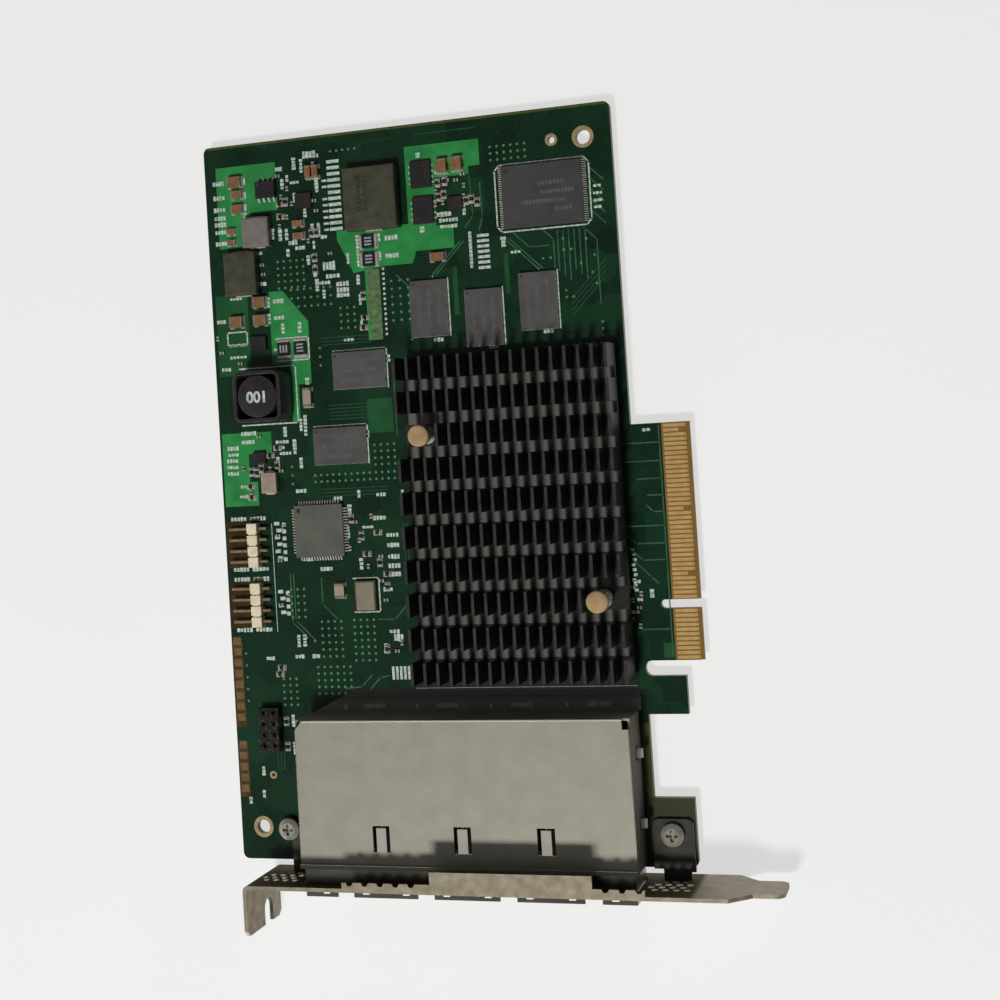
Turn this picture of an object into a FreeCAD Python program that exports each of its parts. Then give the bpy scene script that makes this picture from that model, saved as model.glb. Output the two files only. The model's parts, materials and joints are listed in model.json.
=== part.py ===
import FreeCAD, Part
import os

from FreeCAD import Vector

# Storage controller card for a server slot, with four external ports on a metal bracket. Millimetres.
# X runs towards the tips of the edge contacts, Y away from the bracket, Z up from the component face.
# The origin is the middle of the key notch, on the line of the contact tips.

# Circuit board
BOARD_THICKNESS = 1.57
CARD_HEIGHT = 111.15
BOARD_REACH = 110.25
BOARD_TAIL = 56.6
BOARD_CORNER_RADIUS = 1.5
TAB_DEPTH = 13.0
TAB_SHORT_ARM = 12.15
TAB_LONG_ARM = 39.15
TIP_BEVEL_LENGTH = 1.35
TIP_BEVEL_DEPTH = 0.45
KEY_WIDTH = 1.9
KEY_DEPTH = 8.7
HOOK_GAP = 3.35
HOOK_LENGTH = 8.2
HOOK_CORNER_RADIUS = 1.5
LUG_SETBACK = 4.2
EAR_LUG_LENGTH = 14.9

# Edge contacts
CONTACT_PITCH = 1.0
CONTACT_WIDTH = 0.7
CONTACT_LENGTH = 4.4
CONTACT_THICKNESS = 0.06
CONTACTS_BEFORE_KEY = 11
CONTACTS_AFTER_KEY = 38
KEY_TO_FIRST_CONTACT = 1.5
PRESENCE_CONTACTS = (17, 31, 48)
PRESENCE_SETBACK = 1.1

# Plated holes: distance from the nearer long edge, distance from the nearer short edge
MOUNT_HOLE_DIAMETER = 3.2
MOUNT_RING_WIDTH = 0.85
FAR_HOLE_INSET = (6.3, 7.3)
TOOLING_HOLE_DIAMETER = 1.6
TOOLING_RING_WIDTH = 0.6
TOOLING_HOLE_INSET = (13.5, 7.2)
NEAR_HOLE_INSET = (5.5, 7.4)
RING_THICKNESS = 0.05

# Controller chip under the heat sink
CHIP_WIDTH = 27.0
CHIP_THICKNESS = 1.5
PAD_THICKNESS = 0.2
PAD_MARGIN = 1.5

# Heat sink: an extruded comb with cross-cut fins
SINK_CENTRE_X = -39.2
SINK_CENTRE_Y = 20.75
FIN_COLUMNS = 17
FIN_PITCH = 3.0
FIN_THICKNESS = 0.7
FIN_HEIGHT = 6.6
SINK_BASE_THICKNESS = 1.7
FIN_ROWS = 10
FIN_LENGTH = 5.0
CROSS_CUT_WIDTH = 2.5
PIN_ROW = 3
PIN_COLUMNS_CLEARED = 3

# Push pins that hold the heat sink down
PIN_OFFSET_X = 18.9
PIN_SHAFT_DIAMETER = 2.4
PIN_HEAD_DIAMETER = 4.8
PIN_HEAD_THICKNESS = 2.0
PIN_HEAD_EDGE = 0.35
PIN_CLEARANCE = 0.3
PIN_BARB_LENGTH = 1.7
PIN_BARB_EXTRA = 0.5
PIN_TIP_DIAMETER = 1.2
SPRING_LENGTH = 5.8
SPRING_WIRE = 0.55

# Ganged port cage, folded from tinned sheet
PORT_COUNT = 4
PORT_PITCH = 18.85
CAGE_CENTRE_X = -53.55
CAGE_WALL = 0.5
CAGE_SIDE_MARGIN = 0.7
CAGE_HEIGHT = 10.8
CAGE_DEPTH = 32.8
CAGE_TO_BRACKET = 3.3
CAGE_RIM_HEIGHT = 0.6
CAGE_RIM_WIDTH = 0.9
CAGE_CORNER_NOTCH = (1.5, 2.2)
CAGE_CORNER_CHAMFER = (2.0, 2.4)
SPRING_TAB_WIDTH = 2.9
SPRING_TAB_LENGTH = 5.3
SPRING_TAB_SLOT = 0.5
SPRING_TAB_TO_FRONT = 3.8
SIDE_WINDOW_LENGTH = 3.2
SIDE_WINDOW_HEIGHT = 2.4
SIDE_WINDOW_SILL = 3.2
SIDE_WINDOW_SETBACKS = (8.4, 23.4)
DIVIDER_THICKNESS = 0.5

# Port shroud: the collar that passes through the bracket
SHROUD_WALL = 0.5
SHROUD_CLEARANCE = 0.1
SHROUD_OVERLAP = 2.2
SHROUD_PROJECTION = 2.3
LATCH_NOTCH_WIDTH = 3.8
LATCH_NOTCH_DEPTH = 2.0
LATCH_WINDOW = (1.6, 0.9)
LATCH_WINDOW_OFFSET = 4.7
LATCH_WINDOW_SETBACK = 0.6

# Plug sockets inside the cage
SOCKET_WIDTH = 16.2
SOCKET_HEIGHT = 8.6
SOCKET_DEPTH = 13.0
SOCKET_NOSE_DEPTH = 4.5
SOCKET_NOSE_HEIGHT = 5.2
SOCKET_SLOT_WIDTH = 12.4
SOCKET_SLOT_HEIGHT = 1.7
SOCKET_SLOT_DEPTH = 7.0
SOCKET_CONTACTS = 5
SOCKET_CONTACT_PITCH = 2.2
SOCKET_CONTACT_WIDTH = 0.9
SOCKET_CONTACT_THICKNESS = 0.2

# Bracket, folded from plated steel
BRACKET_THICKNESS = 0.86
BRACKET_WIDTH = 18.42
BRACKET_BELOW_BOARD = 2.2
BRACKET_GAP = 2.3
BRACKET_LEFT_END = 105.0
BRACKET_TONGUE_END = 15.02
TONGUE_WIDTH = 10.2
TONGUE_SHOULDER = 4.0
TONGUE_TAPER = 4.5
TONGUE_TIP_RADIUS = 2.0
BEND_RADIUS = 1.3
SCREW_TAB_LENGTH = 11.43
SCREW_SLOT_WIDTH = 4.4
SCREW_SLOT_DEPTH = 5.6
SCREW_SLOT_HEIGHT = 4.6
TAB_RELIEF = (1.6, 4.6)
TAB_CORNER = 1.2
WINDOW_CLEARANCE = 0.4
FLANGE_DEPTH = 2.2
FLANGE_START = 10.95
FLANGE_LENGTH = 67.8
HOOD_DEPTH = 4.9
HOOD_START = 31.45
HOOD_LENGTH = 36.1
SCALLOP_PITCH = 3.6
SCALLOP_WIDTH = 1.7
VENT_FLAT = 1.5
VENT_PITCH = 2.3
VENT_ROW_PITCH = 2.0
VENT_ROWS = 4
VENT_COLUMNS = 4
VENT_FLOOR = 3.2
LEFT_VENT_TO_WINDOW = 2.8
RIGHT_VENT_TO_WINDOW = 1.95
EAR_LENGTH = 12.9
EAR_WIDTH_RIGHT = 9.0
EAR_WIDTH_LEFT = 3.7
EAR_EYE_DIAMETER = 4.5
EAR_TO_CAGE = 2.6
EAR_INSET = 0.5
EAR_CORNER_RADIUS = 1.5
EAR_SCREW_SETBACK = 3.3
EAR_RELIEF_LEFT = (2.0, 2.2)
EAR_RELIEF_RIGHT = (1.0, 1.6)
EAR_SCREW_OFFSET_RIGHT = 4.5
EAR_SCREW_OVERHANG = 0.3

# Bracket screws and nuts
SCREW_DIAMETER = 2.9
SCREW_HOLE_DIAMETER = 3.2
SCREW_HEAD_DIAMETER = 5.0
SCREW_HEAD_HEIGHT = 1.7
SCREW_RECESS = (2.6, 0.6, 0.9)
SCREW_CROWN = (0.9, 0.7)
NUT_FLATS = 5.0
NUT_THICKNESS = 1.6

# Flash memory: a thin package with leads on its two short ends
FLASH_BODY = (18.4, 14.0, 1.0)
FLASH_LEADS = 28
FLASH_LEAD_PITCH = 0.5
FLASH_LEAD_WIDTH = 0.22
FLASH_FROM_RIGHT = 16.1
FLASH_FROM_TOP = 19.1

# Working memory: ball-grid packages, upright above the heat sink and lying to its left
MEMORY_WIDTH = 8.5
MEMORY_LENGTH = 12.8
MEMORY_THICKNESS = 1.1
UPRIGHT_MEMORY = ((-17.8, 4.6), (-5.1, 1.6), (7.7, 4.3))
LYING_MEMORY = ((4.9, 34.6), (10.7, 17.5))

# Flat-pack logic chip with leads on all four sides
LOGIC_WIDTH = 12.0
LOGIC_THICKNESS = 1.1
LOGIC_LEADS = 16
LOGIC_LEAD_PITCH = 0.65
LOGIC_LEAD_WIDTH = 0.3
LOGIC_FROM_LEFT = 24.2
LOGIC_Y = 19.0

# Gull-wing leads
LEAD_THICKNESS = 0.2
LEAD_REACH = 0.9
LEAD_FOOT = 0.5
LEAD_SHOULDER = 0.8
BODY_STANDOFF = 0.1

# Eight-lead regulator near the far corner
REGULATOR_BODY = (4.9, 3.9, 1.4)
REGULATOR_LEADS = 4
REGULATOR_LEAD_PITCH = 1.27
REGULATOR_LEAD_WIDTH = 0.42
REGULATOR_FROM_LEFT = 15.7
REGULATOR_FROM_TOP = 11.4

# Leadless chips: distance from the left edge, distance from the top edge, width, length, thickness
LEADLESS_CHIPS = ((24.9, 14.85, 4.0, 3.6, 0.9), (11.6, 47.0, 4.0, 3.2, 1.1))
DRIVER_CHIP = (36.4, 19.05, 3.4, 3.1, 0.9)
MONITOR_CHIP = (10.1, 36.5, 3.2, 2.8, 1.0)

# Power transistors: distance from the right edge, distance from the top edge
TRANSISTOR_BODY = (4.9, 6.1, 1.0)
TRANSISTORS = ((44.2, 11.75), (44.1, 19.95))
TRANSISTOR_LEADS = 4
TRANSISTOR_LEAD_PITCH = 1.27
TRANSISTOR_LEAD = (0.55, 0.45, 0.25)

# Inductors
POWER_INDUCTOR = (12.6, 14.4, 3.5)
POWER_INDUCTOR_FROM_RIGHT = 56.0
POWER_INDUCTOR_FROM_TOP = 16.1
INDUCTOR_EDGE = 0.5
INDUCTOR_CLIP = (4.0, 0.25, 1.2)
SMALL_INDUCTOR = (6.7, 6.9, 2.4)
SMALL_INDUCTOR_FROM_LEFT = 13.0
SMALL_INDUCTOR_FROM_TOP = 21.2
BLOCK_INDUCTOR = (8.0, 10.2, 3.0)
BLOCK_INDUCTOR_FROM_LEFT = 8.8
BLOCK_INDUCTOR_FROM_TOP = 30.6
DRUM_WIDTH = 11.8
DRUM_HEIGHT = 7.6
DRUM_BASE_THICKNESS = 1.6
DRUM_CORNER_RADIUS = 2.2
DRUM_WALL = 0.9
DRUM_WELL_RADIUS = 1.0
DRUM_CORE_CLEARANCE = 0.15
DRUM_CORE_DROP = 0.25
DRUM_FROM_LEFT = 13.4
DRUM_FROM_TOP = 59.55

# Sense resistors: length over the end caps, width, height; then distances from an edge and from the top
SENSE_SIZE = (4.2, 3.1, 0.6)
SENSE_CAP = 0.55
UPRIGHT_SENSE = ((17.8, 48.8), (21.9, 48.8))
LEVEL_SENSE = ((57.9, 25.7), (57.9, 29.8))

# Ceramic capacitors: length of each end cap
CAPACITOR_CAP = 0.55
# Along X on the left side: distance from the left edge, from the top edge, length, width, height
LEFT_CAPACITORS = ((7.9, 8.85, 3.4, 2.5, 1.5), (8.2, 11.8, 2.9, 1.9, 1.2), (8.1, 15.2, 2.9, 2.1, 1.2),
                   (6.2, 20.3, 2.2, 1.4, 1.0), (6.2, 22.9, 2.2, 1.4, 1.0), (23.2, 20.0, 2.6, 1.5, 1.0),
                   (23.2, 22.9, 2.6, 1.5, 1.0), (12.5, 37.5, 3.2, 2.5, 1.6), (12.5, 41.7, 3.2, 2.5, 1.6),
                   (6.4, 41.7, 3.3, 2.6, 1.6))
# Along Y on the left side
LEFT_UPRIGHT_CAPACITORS = ((26.6, 8.4, 3.0, 1.4, 1.4), (28.4, 8.4, 3.0, 1.4, 1.4),
                           (23.1, 60.4, 4.4, 2.0, 1.2))
# Along Y beside the transistors: distance from the right edge, from the top edge
RIGHT_CAPACITORS = ((39.1, 10.4, 3.2, 2.5, 1.6), (35.5, 10.2, 3.2, 2.5, 1.6))
RIGHT_LEVEL_CAPACITOR = (41.4, 30.75, 3.4, 1.9, 1.2)

# Chip resistors and small capacitors: length over the end caps, width, height; places as above
PASSIVE_SIZE = (1.6, 0.8, 0.5)
PASSIVE_CAP = 0.35
UPPER_LEVEL_PASSIVES = ((37.9, 45.3), (18.8, 18.0), (18.8, 15.0), (38.3, 43.0))
UPPER_UPRIGHT_PASSIVES = ((38.1, 38.0), (26.7, 28.2), (26.7, 31.0), (20.2, 14.6), (26.3, 22.5), (27.6, 22.5))
DRIVER_PASSIVES = ((40.4, 17.2), (39.2, 16.8), (40.5, 14.0), (38.8, 13.8), (34.0, 18.6),
                   (32.7, 18.4), (31.4, 19.2))
# Lower on the board: distance from the left edge, Y
LOWER_LEVEL_PASSIVES = ((7.3, 29.9), (7.5, 27.3), (12.7, 36.9), (38.2, 18.0), (35.3, 13.2), (40.0, 8.5),
                        (12.5, -12.4), (12.0, -13.9), (14.6, 38.6))
LOWER_UPRIGHT_PASSIVES = ((7.7, 33.3), (9.1, 33.1), (10.2, 34.0), (14.3, 34.6), (38.3, 11.2), (39.8, 5.6),
                          (31.9, 21.4), (34.2, 17.4), (38.8, -8.5), (12.8, -24.8), (12.8, -30.6))

# Clock parts and the tantalum block: distance from the left edge, Y
OSCILLATOR_BODY = (5.0, 7.0, 1.3)
OSCILLATOR_LID_INSET = 0.35
OSCILLATOR_LID_THICKNESS = 0.12
OSCILLATOR_PLACE = (34.7, 3.7)
CLOCK_CAPACITOR = (28.3, 5.1, 3.3, 2.4, 1.2)
TANTALUM_BODY = (3.8, 4.8, 1.9)
TANTALUM_PLACE = (12.6, 30.6)
TANTALUM_FOOT = (0.35, 2.2, 0.8)

# Right-angle pin headers by the left edge
HEADER_PITCH = 2.54
HEADER_PINS = 4
HEADER_BODY_DEPTH = 2.8
HEADER_BODY_HEIGHT = 2.5
HEADER_GROOVE = 0.45
HEADER_PIN = 0.64
HEADER_PIN_REACH = 4.7
HEADER_TAIL_OFFSET = 1.7
HEADER_TAIL_LENGTH = 1.2
HEADER_FROM_LEFT = 7.7
HEADER_PLACES = (16.3, 2.4)

# Two-row black header
BLOCK_HEADER_ROWS = 2
BLOCK_HEADER_COLUMNS = 4
BLOCK_HEADER_HEIGHT = 2.5
BLOCK_HEADER_PIN_RISE = 0.9
BLOCK_HEADER_FROM_LEFT = 9.3
BLOCK_HEADER_Y = -26.4

# Bare solder pads along the left edge: the first Y of each group, and its count
EDGE_PAD = (1.9, 1.7)
EDGE_PAD_INSET = 0.5
EDGE_PAD_PITCH = 2.54
EDGE_PAD_STARTS = (-6.0, -30.2)
EDGE_PAD_COUNTS = (8, 5)

# Worked-out places
LEFT = -CARD_HEIGHT
RIGHT = -TAB_DEPTH
TOP = BOARD_REACH
BOTTOM = -BOARD_TAIL
UNDERSIDE = -BOARD_THICKNESS
LUG_X = -LUG_SETBACK

SINK_WIDTH = (FIN_COLUMNS - 1) * FIN_PITCH + FIN_THICKNESS
SINK_LENGTH = (FIN_ROWS - 1) * (FIN_LENGTH + CROSS_CUT_WIDTH) + FIN_LENGTH
SINK_LEFT = SINK_CENTRE_X - SINK_WIDTH / 2
SINK_TOP = SINK_CENTRE_Y + SINK_LENGTH / 2
SINK_FLOOR = CHIP_THICKNESS + PAD_THICKNESS
SINK_BASE_TOP = SINK_FLOOR + SINK_BASE_THICKNESS
FIN_TOP = SINK_BASE_TOP + FIN_HEIGHT
PIN_ROW_Y = SINK_TOP - (PIN_ROW - 1) * (FIN_LENGTH + CROSS_CUT_WIDTH) - FIN_LENGTH / 2
PIN_PLACES = ((SINK_CENTRE_X - PIN_OFFSET_X, PIN_ROW_Y),
              (SINK_CENTRE_X + PIN_OFFSET_X, 2 * SINK_CENTRE_Y - PIN_ROW_Y))
PIN_HOLE_RADIUS = PIN_SHAFT_DIAMETER / 2 + PIN_CLEARANCE
PIN_HEAD_FLOOR = SINK_BASE_TOP + SPRING_LENGTH

BRACKET_INNER = BOTTOM - BRACKET_GAP
BRACKET_OUTER = BRACKET_INNER - BRACKET_THICKNESS
BRACKET_LOW = UNDERSIDE - BRACKET_BELOW_BOARD
BRACKET_HIGH = BRACKET_LOW + BRACKET_WIDTH
BRACKET_LEFT = -BRACKET_LEFT_END

CAGE_WIDTH = PORT_COUNT * PORT_PITCH + 2 * CAGE_SIDE_MARGIN
CAGE_LEFT = CAGE_CENTRE_X - CAGE_WIDTH / 2
CAGE_RIGHT = CAGE_CENTRE_X + CAGE_WIDTH / 2
CAGE_FRONT = BRACKET_INNER + CAGE_TO_BRACKET
CAGE_BACK = CAGE_FRONT + CAGE_DEPTH
PORT_CENTRES = [CAGE_CENTRE_X + (i - (PORT_COUNT - 1) / 2) * PORT_PITCH for i in range(PORT_COUNT)]
DIVIDERS = [CAGE_CENTRE_X + (i - PORT_COUNT / 2) * PORT_PITCH for i in range(1, PORT_COUNT)]
SHROUD_LEFT = CAGE_LEFT + CAGE_WALL + SHROUD_CLEARANCE
SHROUD_RIGHT = CAGE_RIGHT - CAGE_WALL - SHROUD_CLEARANCE
SHROUD_LOW = 0
SHROUD_HIGH = CAGE_HEIGHT - CAGE_WALL - SHROUD_CLEARANCE
SHROUD_BACK = CAGE_FRONT + SHROUD_OVERLAP
SHROUD_FRONT = BRACKET_OUTER - SHROUD_PROJECTION
WINDOW_LEFT = SHROUD_LEFT - WINDOW_CLEARANCE
WINDOW_RIGHT = SHROUD_RIGHT + WINDOW_CLEARANCE
VENT_SPAN = (VENT_COLUMNS - 0.5) * VENT_PITCH
LEFT_VENT_START = WINDOW_LEFT - LEFT_VENT_TO_WINDOW - VENT_SPAN
RIGHT_VENT_START = WINDOW_RIGHT + RIGHT_VENT_TO_WINDOW
FLANGE_SPAN = (CAGE_LEFT + FLANGE_START, CAGE_LEFT + FLANGE_START + FLANGE_LENGTH)
HOOD_SPAN = (CAGE_LEFT + HOOD_START, CAGE_LEFT + HOOD_START + HOOD_LENGTH)

EAR_RIGHT_EDGE = LUG_X - EAR_INSET
EAR_RIGHT_START = EAR_RIGHT_EDGE - EAR_WIDTH_RIGHT
EAR_LEFT_START = CAGE_LEFT - EAR_TO_CAGE - EAR_WIDTH_LEFT
EAR_END = BRACKET_INNER + EAR_LENGTH
SCREW_Y = EAR_END - EAR_SCREW_SETBACK
SCREW_PLACES = ((EAR_LEFT_START - EAR_SCREW_OVERHANG, SCREW_Y),
                (EAR_RIGHT_EDGE - EAR_SCREW_OFFSET_RIGHT, SCREW_Y))

FAR_HOLE = (RIGHT - FAR_HOLE_INSET[0], TOP - FAR_HOLE_INSET[1])
TOOLING_HOLE = (RIGHT - TOOLING_HOLE_INSET[0], TOP - TOOLING_HOLE_INSET[1])
NEAR_HOLE = (LEFT + NEAR_HOLE_INSET[0], BOTTOM + NEAR_HOLE_INSET[1])


def box(x0, x1, y0, y1, z0, z1):
    """Block between two corners."""
    return Part.makeBox(x1 - x0, y1 - y0, z1 - z0, Vector(x0, y0, z0))


def block(x, y, z, size):
    """Block of the given width, length and height, centred on x, y and standing on z."""
    width, length, height = size
    return box(x - width / 2, x + width / 2, y - length / 2, y + length / 2, z, z + height)


def rod(x, y, z, diameter, length):
    """Upright cylinder standing on z."""
    return Part.makeCylinder(diameter / 2, length, Vector(x, y, z))


def prism(points, direction):
    """Solid drawn along a direction from a flat outline."""
    return Part.Face(Part.makePolygon(points + points[:1])).extrude(direction)


def join(shapes):
    """One solid from touching shapes."""
    return shapes[0].multiFuse(shapes[1:]).removeSplitter()


def upright_edges(solid, corners):
    """Edges along Z that stand on the given x, y corners."""
    found = []
    for edge in solid.Edges:
        a, b = edge.Vertexes[0].Point, edge.Vertexes[-1].Point
        level = abs(a.x - b.x) + abs(a.y - b.y) < 1e-6 and abs(a.z - b.z) > 1e-6
        if level and any(abs(a.x - x) + abs(a.y - y) < 1e-4 for x, y in corners):
            found.append(edge)
    return found


def square_corners(x, y, width):
    """The four corners of a square about x, y."""
    half = width / 2
    return [(x - half, y - half), (x - half, y + half), (x + half, y - half), (x + half, y + half)]


def soften_top(solid, z, radius):
    """Block with the edges of its top face rounded."""
    edges = [e for e in solid.Edges if all(abs(v.Point.z - z) < 1e-6 for v in e.Vertexes)]
    return solid.makeFillet(radius, edges)


def save(node, *solids):
    """Writes one node, as one solid or a group of like solids."""
    shape = solids[0] if len(solids) == 1 else Part.makeCompound(list(solids))
    shape.exportStep("parts/" + node + ".step")


def header_tails():
    """Places where pin tails pass through the board."""
    tails = []
    for place in HEADER_PLACES:
        for i in range(HEADER_PINS):
            y = place + (i - (HEADER_PINS - 1) / 2) * HEADER_PITCH
            tails.append((LEFT + HEADER_FROM_LEFT + HEADER_BODY_DEPTH / 2 + HEADER_TAIL_OFFSET, y))
    return tails


def block_header_pins():
    """Places of the pins of the two-row header."""
    middle = (BLOCK_HEADER_ROWS - 1) / 2, (BLOCK_HEADER_COLUMNS - 1) / 2
    return [(LEFT + BLOCK_HEADER_FROM_LEFT + (i - middle[0]) * HEADER_PITCH,
             BLOCK_HEADER_Y + (j - middle[1]) * HEADER_PITCH)
            for i in range(BLOCK_HEADER_ROWS) for j in range(BLOCK_HEADER_COLUMNS)]


def circuit_board():
    """Board outline with contact tab, key notch, hook, ear lug and drilled holes."""
    hook_high = -TAB_SHORT_ARM - HOOK_GAP
    lug_high = BOTTOM + EAR_LUG_LENGTH
    board = join([box(LEFT, RIGHT, BOTTOM, TOP, UNDERSIDE, 0),
                  box(RIGHT, 0, -TAB_SHORT_ARM, TAB_LONG_ARM, UNDERSIDE, 0),
                  box(RIGHT, LUG_X, hook_high - HOOK_LENGTH, hook_high, UNDERSIDE, 0),
                  box(RIGHT, LUG_X, BOTTOM, lug_high, UNDERSIDE, 0)])
    outer = [(LEFT, BOTTOM), (LEFT, TOP), (RIGHT, TOP), (LUG_X, BOTTOM)]
    board = board.makeFillet(BOARD_CORNER_RADIUS, upright_edges(board, outer))
    inner = [(RIGHT, -TAB_SHORT_ARM), (RIGHT, hook_high)]
    board = board.makeFillet(HOOK_CORNER_RADIUS, upright_edges(board, inner))

    across = Vector(0, TAB_SHORT_ARM + TAB_LONG_ARM, 0)
    cuts = []
    for face, depth in ((0, -TIP_BEVEL_DEPTH), (UNDERSIDE, TIP_BEVEL_DEPTH)):
        corners = [(-TIP_BEVEL_LENGTH, face), (0, face), (0, face + depth)]
        cuts.append(prism([Vector(x, -TAB_SHORT_ARM, z) for x, z in corners], across))
    key_end = KEY_WIDTH / 2 - KEY_DEPTH
    cuts.append(box(key_end, 0, -KEY_WIDTH / 2, KEY_WIDTH / 2, UNDERSIDE, 0))
    cuts.append(rod(key_end, 0, UNDERSIDE, KEY_WIDTH, BOARD_THICKNESS))
    holes = [(FAR_HOLE, MOUNT_HOLE_DIAMETER), (NEAR_HOLE, MOUNT_HOLE_DIAMETER),
             (TOOLING_HOLE, TOOLING_HOLE_DIAMETER)]
    holes += [(place, 2 * PIN_HOLE_RADIUS) for place in PIN_PLACES]
    holes += [(place, SCREW_HOLE_DIAMETER) for place in SCREW_PLACES]
    cuts += [rod(x, y, UNDERSIDE, diameter, BOARD_THICKNESS) for (x, y), diameter in holes]
    # The header tails are soldered in, so their holes are drawn full.
    tail = (HEADER_PIN, HEADER_PIN, BOARD_THICKNESS)
    cuts += [block(x, y, UNDERSIDE, tail) for x, y in header_tails()]
    return board.cut(cuts)


def edge_contacts(z, short):
    """One face's gold contacts, counted from the bracket end; the presence contacts stop short."""
    fingers = []
    for number in range(1, CONTACTS_BEFORE_KEY + CONTACTS_AFTER_KEY + 1):
        past_key = number - CONTACTS_BEFORE_KEY
        step = past_key - 1 if past_key > 0 else past_key
        side = KEY_TO_FIRST_CONTACT if past_key > 0 else -KEY_TO_FIRST_CONTACT
        y = side + step * CONTACT_PITCH
        tip = -TIP_BEVEL_LENGTH - (PRESENCE_SETBACK if number in short else 0)
        heel = -TIP_BEVEL_LENGTH - CONTACT_LENGTH
        fingers.append(box(heel, tip, y - CONTACT_WIDTH / 2, y + CONTACT_WIDTH / 2, z, z + CONTACT_THICKNESS))
    return fingers


def hole_rings():
    """Plated rings round the mounting and tooling holes."""
    rings = []
    for (x, y), diameter, width in ((FAR_HOLE, MOUNT_HOLE_DIAMETER, MOUNT_RING_WIDTH),
                                    (NEAR_HOLE, MOUNT_HOLE_DIAMETER, MOUNT_RING_WIDTH),
                                    (TOOLING_HOLE, TOOLING_HOLE_DIAMETER, TOOLING_RING_WIDTH)):
        ring = rod(x, y, 0, diameter + 2 * width, RING_THICKNESS)
        rings.append(ring.cut(rod(x, y, 0, diameter, RING_THICKNESS)))
    return rings


def edge_pads():
    """Bare solder pads for headers that aren't fitted."""
    x = LEFT + EDGE_PAD_INSET + EDGE_PAD[0] / 2
    pads = []
    for first, count in zip(EDGE_PAD_STARTS, EDGE_PAD_COUNTS):
        for i in range(count):
            pads.append(block(x, first - i * EDGE_PAD_PITCH, 0, EDGE_PAD + (RING_THICKNESS,)))
    return pads


def heat_sink():
    """Extruded comb of fins, cross-cut into short rows and cleared round the two push pins."""
    profile = [Vector(SINK_LEFT, 0, SINK_FLOOR), Vector(SINK_LEFT + SINK_WIDTH, 0, SINK_FLOOR)]
    for column in reversed(range(FIN_COLUMNS)):
        left = SINK_LEFT + column * FIN_PITCH
        right = left + FIN_THICKNESS
        if column < FIN_COLUMNS - 1:
            profile.append(Vector(right, 0, SINK_BASE_TOP))
        profile += [Vector(right, 0, FIN_TOP), Vector(left, 0, FIN_TOP)]
        if column > 0:
            profile.append(Vector(left, 0, SINK_BASE_TOP))
    start = SINK_TOP - SINK_LENGTH
    comb = prism([p + Vector(0, start, 0) for p in profile], Vector(0, SINK_LENGTH, 0))
    right_side = SINK_LEFT + SINK_WIDTH
    cuts = []
    for row in range(FIN_ROWS - 1):
        y = start + FIN_LENGTH + row * (FIN_LENGTH + CROSS_CUT_WIDTH)
        cuts.append(box(SINK_LEFT, right_side, y, y + CROSS_CUT_WIDTH, SINK_BASE_TOP, FIN_TOP))
    cleared = PIN_COLUMNS_CLEARED * FIN_PITCH - (FIN_PITCH - FIN_THICKNESS) / 2
    for (x, y), left in zip(PIN_PLACES, (SINK_LEFT, right_side - cleared)):
        half = FIN_LENGTH / 2
        cuts.append(box(left, left + cleared, y - half, y + half, SINK_BASE_TOP, FIN_TOP))
        cuts.append(rod(x, y, SINK_FLOOR, 2 * PIN_HOLE_RADIUS, SINK_BASE_THICKNESS))
    return comb.cut(cuts)


def push_pin(x, y):
    """Brass pin with a flat head and a barbed tip below the board, turned as one piece."""
    shaft = PIN_SHAFT_DIAMETER / 2
    head = PIN_HEAD_DIAMETER / 2
    barb = shaft + PIN_BARB_EXTRA
    top = PIN_HEAD_FLOOR + PIN_HEAD_THICKNESS
    tip = UNDERSIDE - PIN_BARB_LENGTH
    outline = [(0, tip), (PIN_TIP_DIAMETER / 2, tip), (barb, UNDERSIDE), (shaft, UNDERSIDE),
               (shaft, PIN_HEAD_FLOOR), (head, PIN_HEAD_FLOOR), (head, top - PIN_HEAD_EDGE),
               (head - PIN_HEAD_EDGE, top), (0, top)]
    face = Part.Face(Part.makePolygon([Vector(x + r, y, z) for r, z in outline + outline[:1]]))
    return face.revolve(Vector(x, y, 0), Vector(0, 0, 1), 360)


def pin_spring(x, y):
    """Coil spring round the pin, drawn as the sleeve that its turns fill."""
    inside = PIN_SHAFT_DIAMETER + 2 * PIN_CLEARANCE
    sleeve = rod(x, y, SINK_BASE_TOP, inside + 2 * SPRING_WIRE, SPRING_LENGTH)
    return sleeve.cut(rod(x, y, SINK_BASE_TOP, inside, SPRING_LENGTH))


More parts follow.
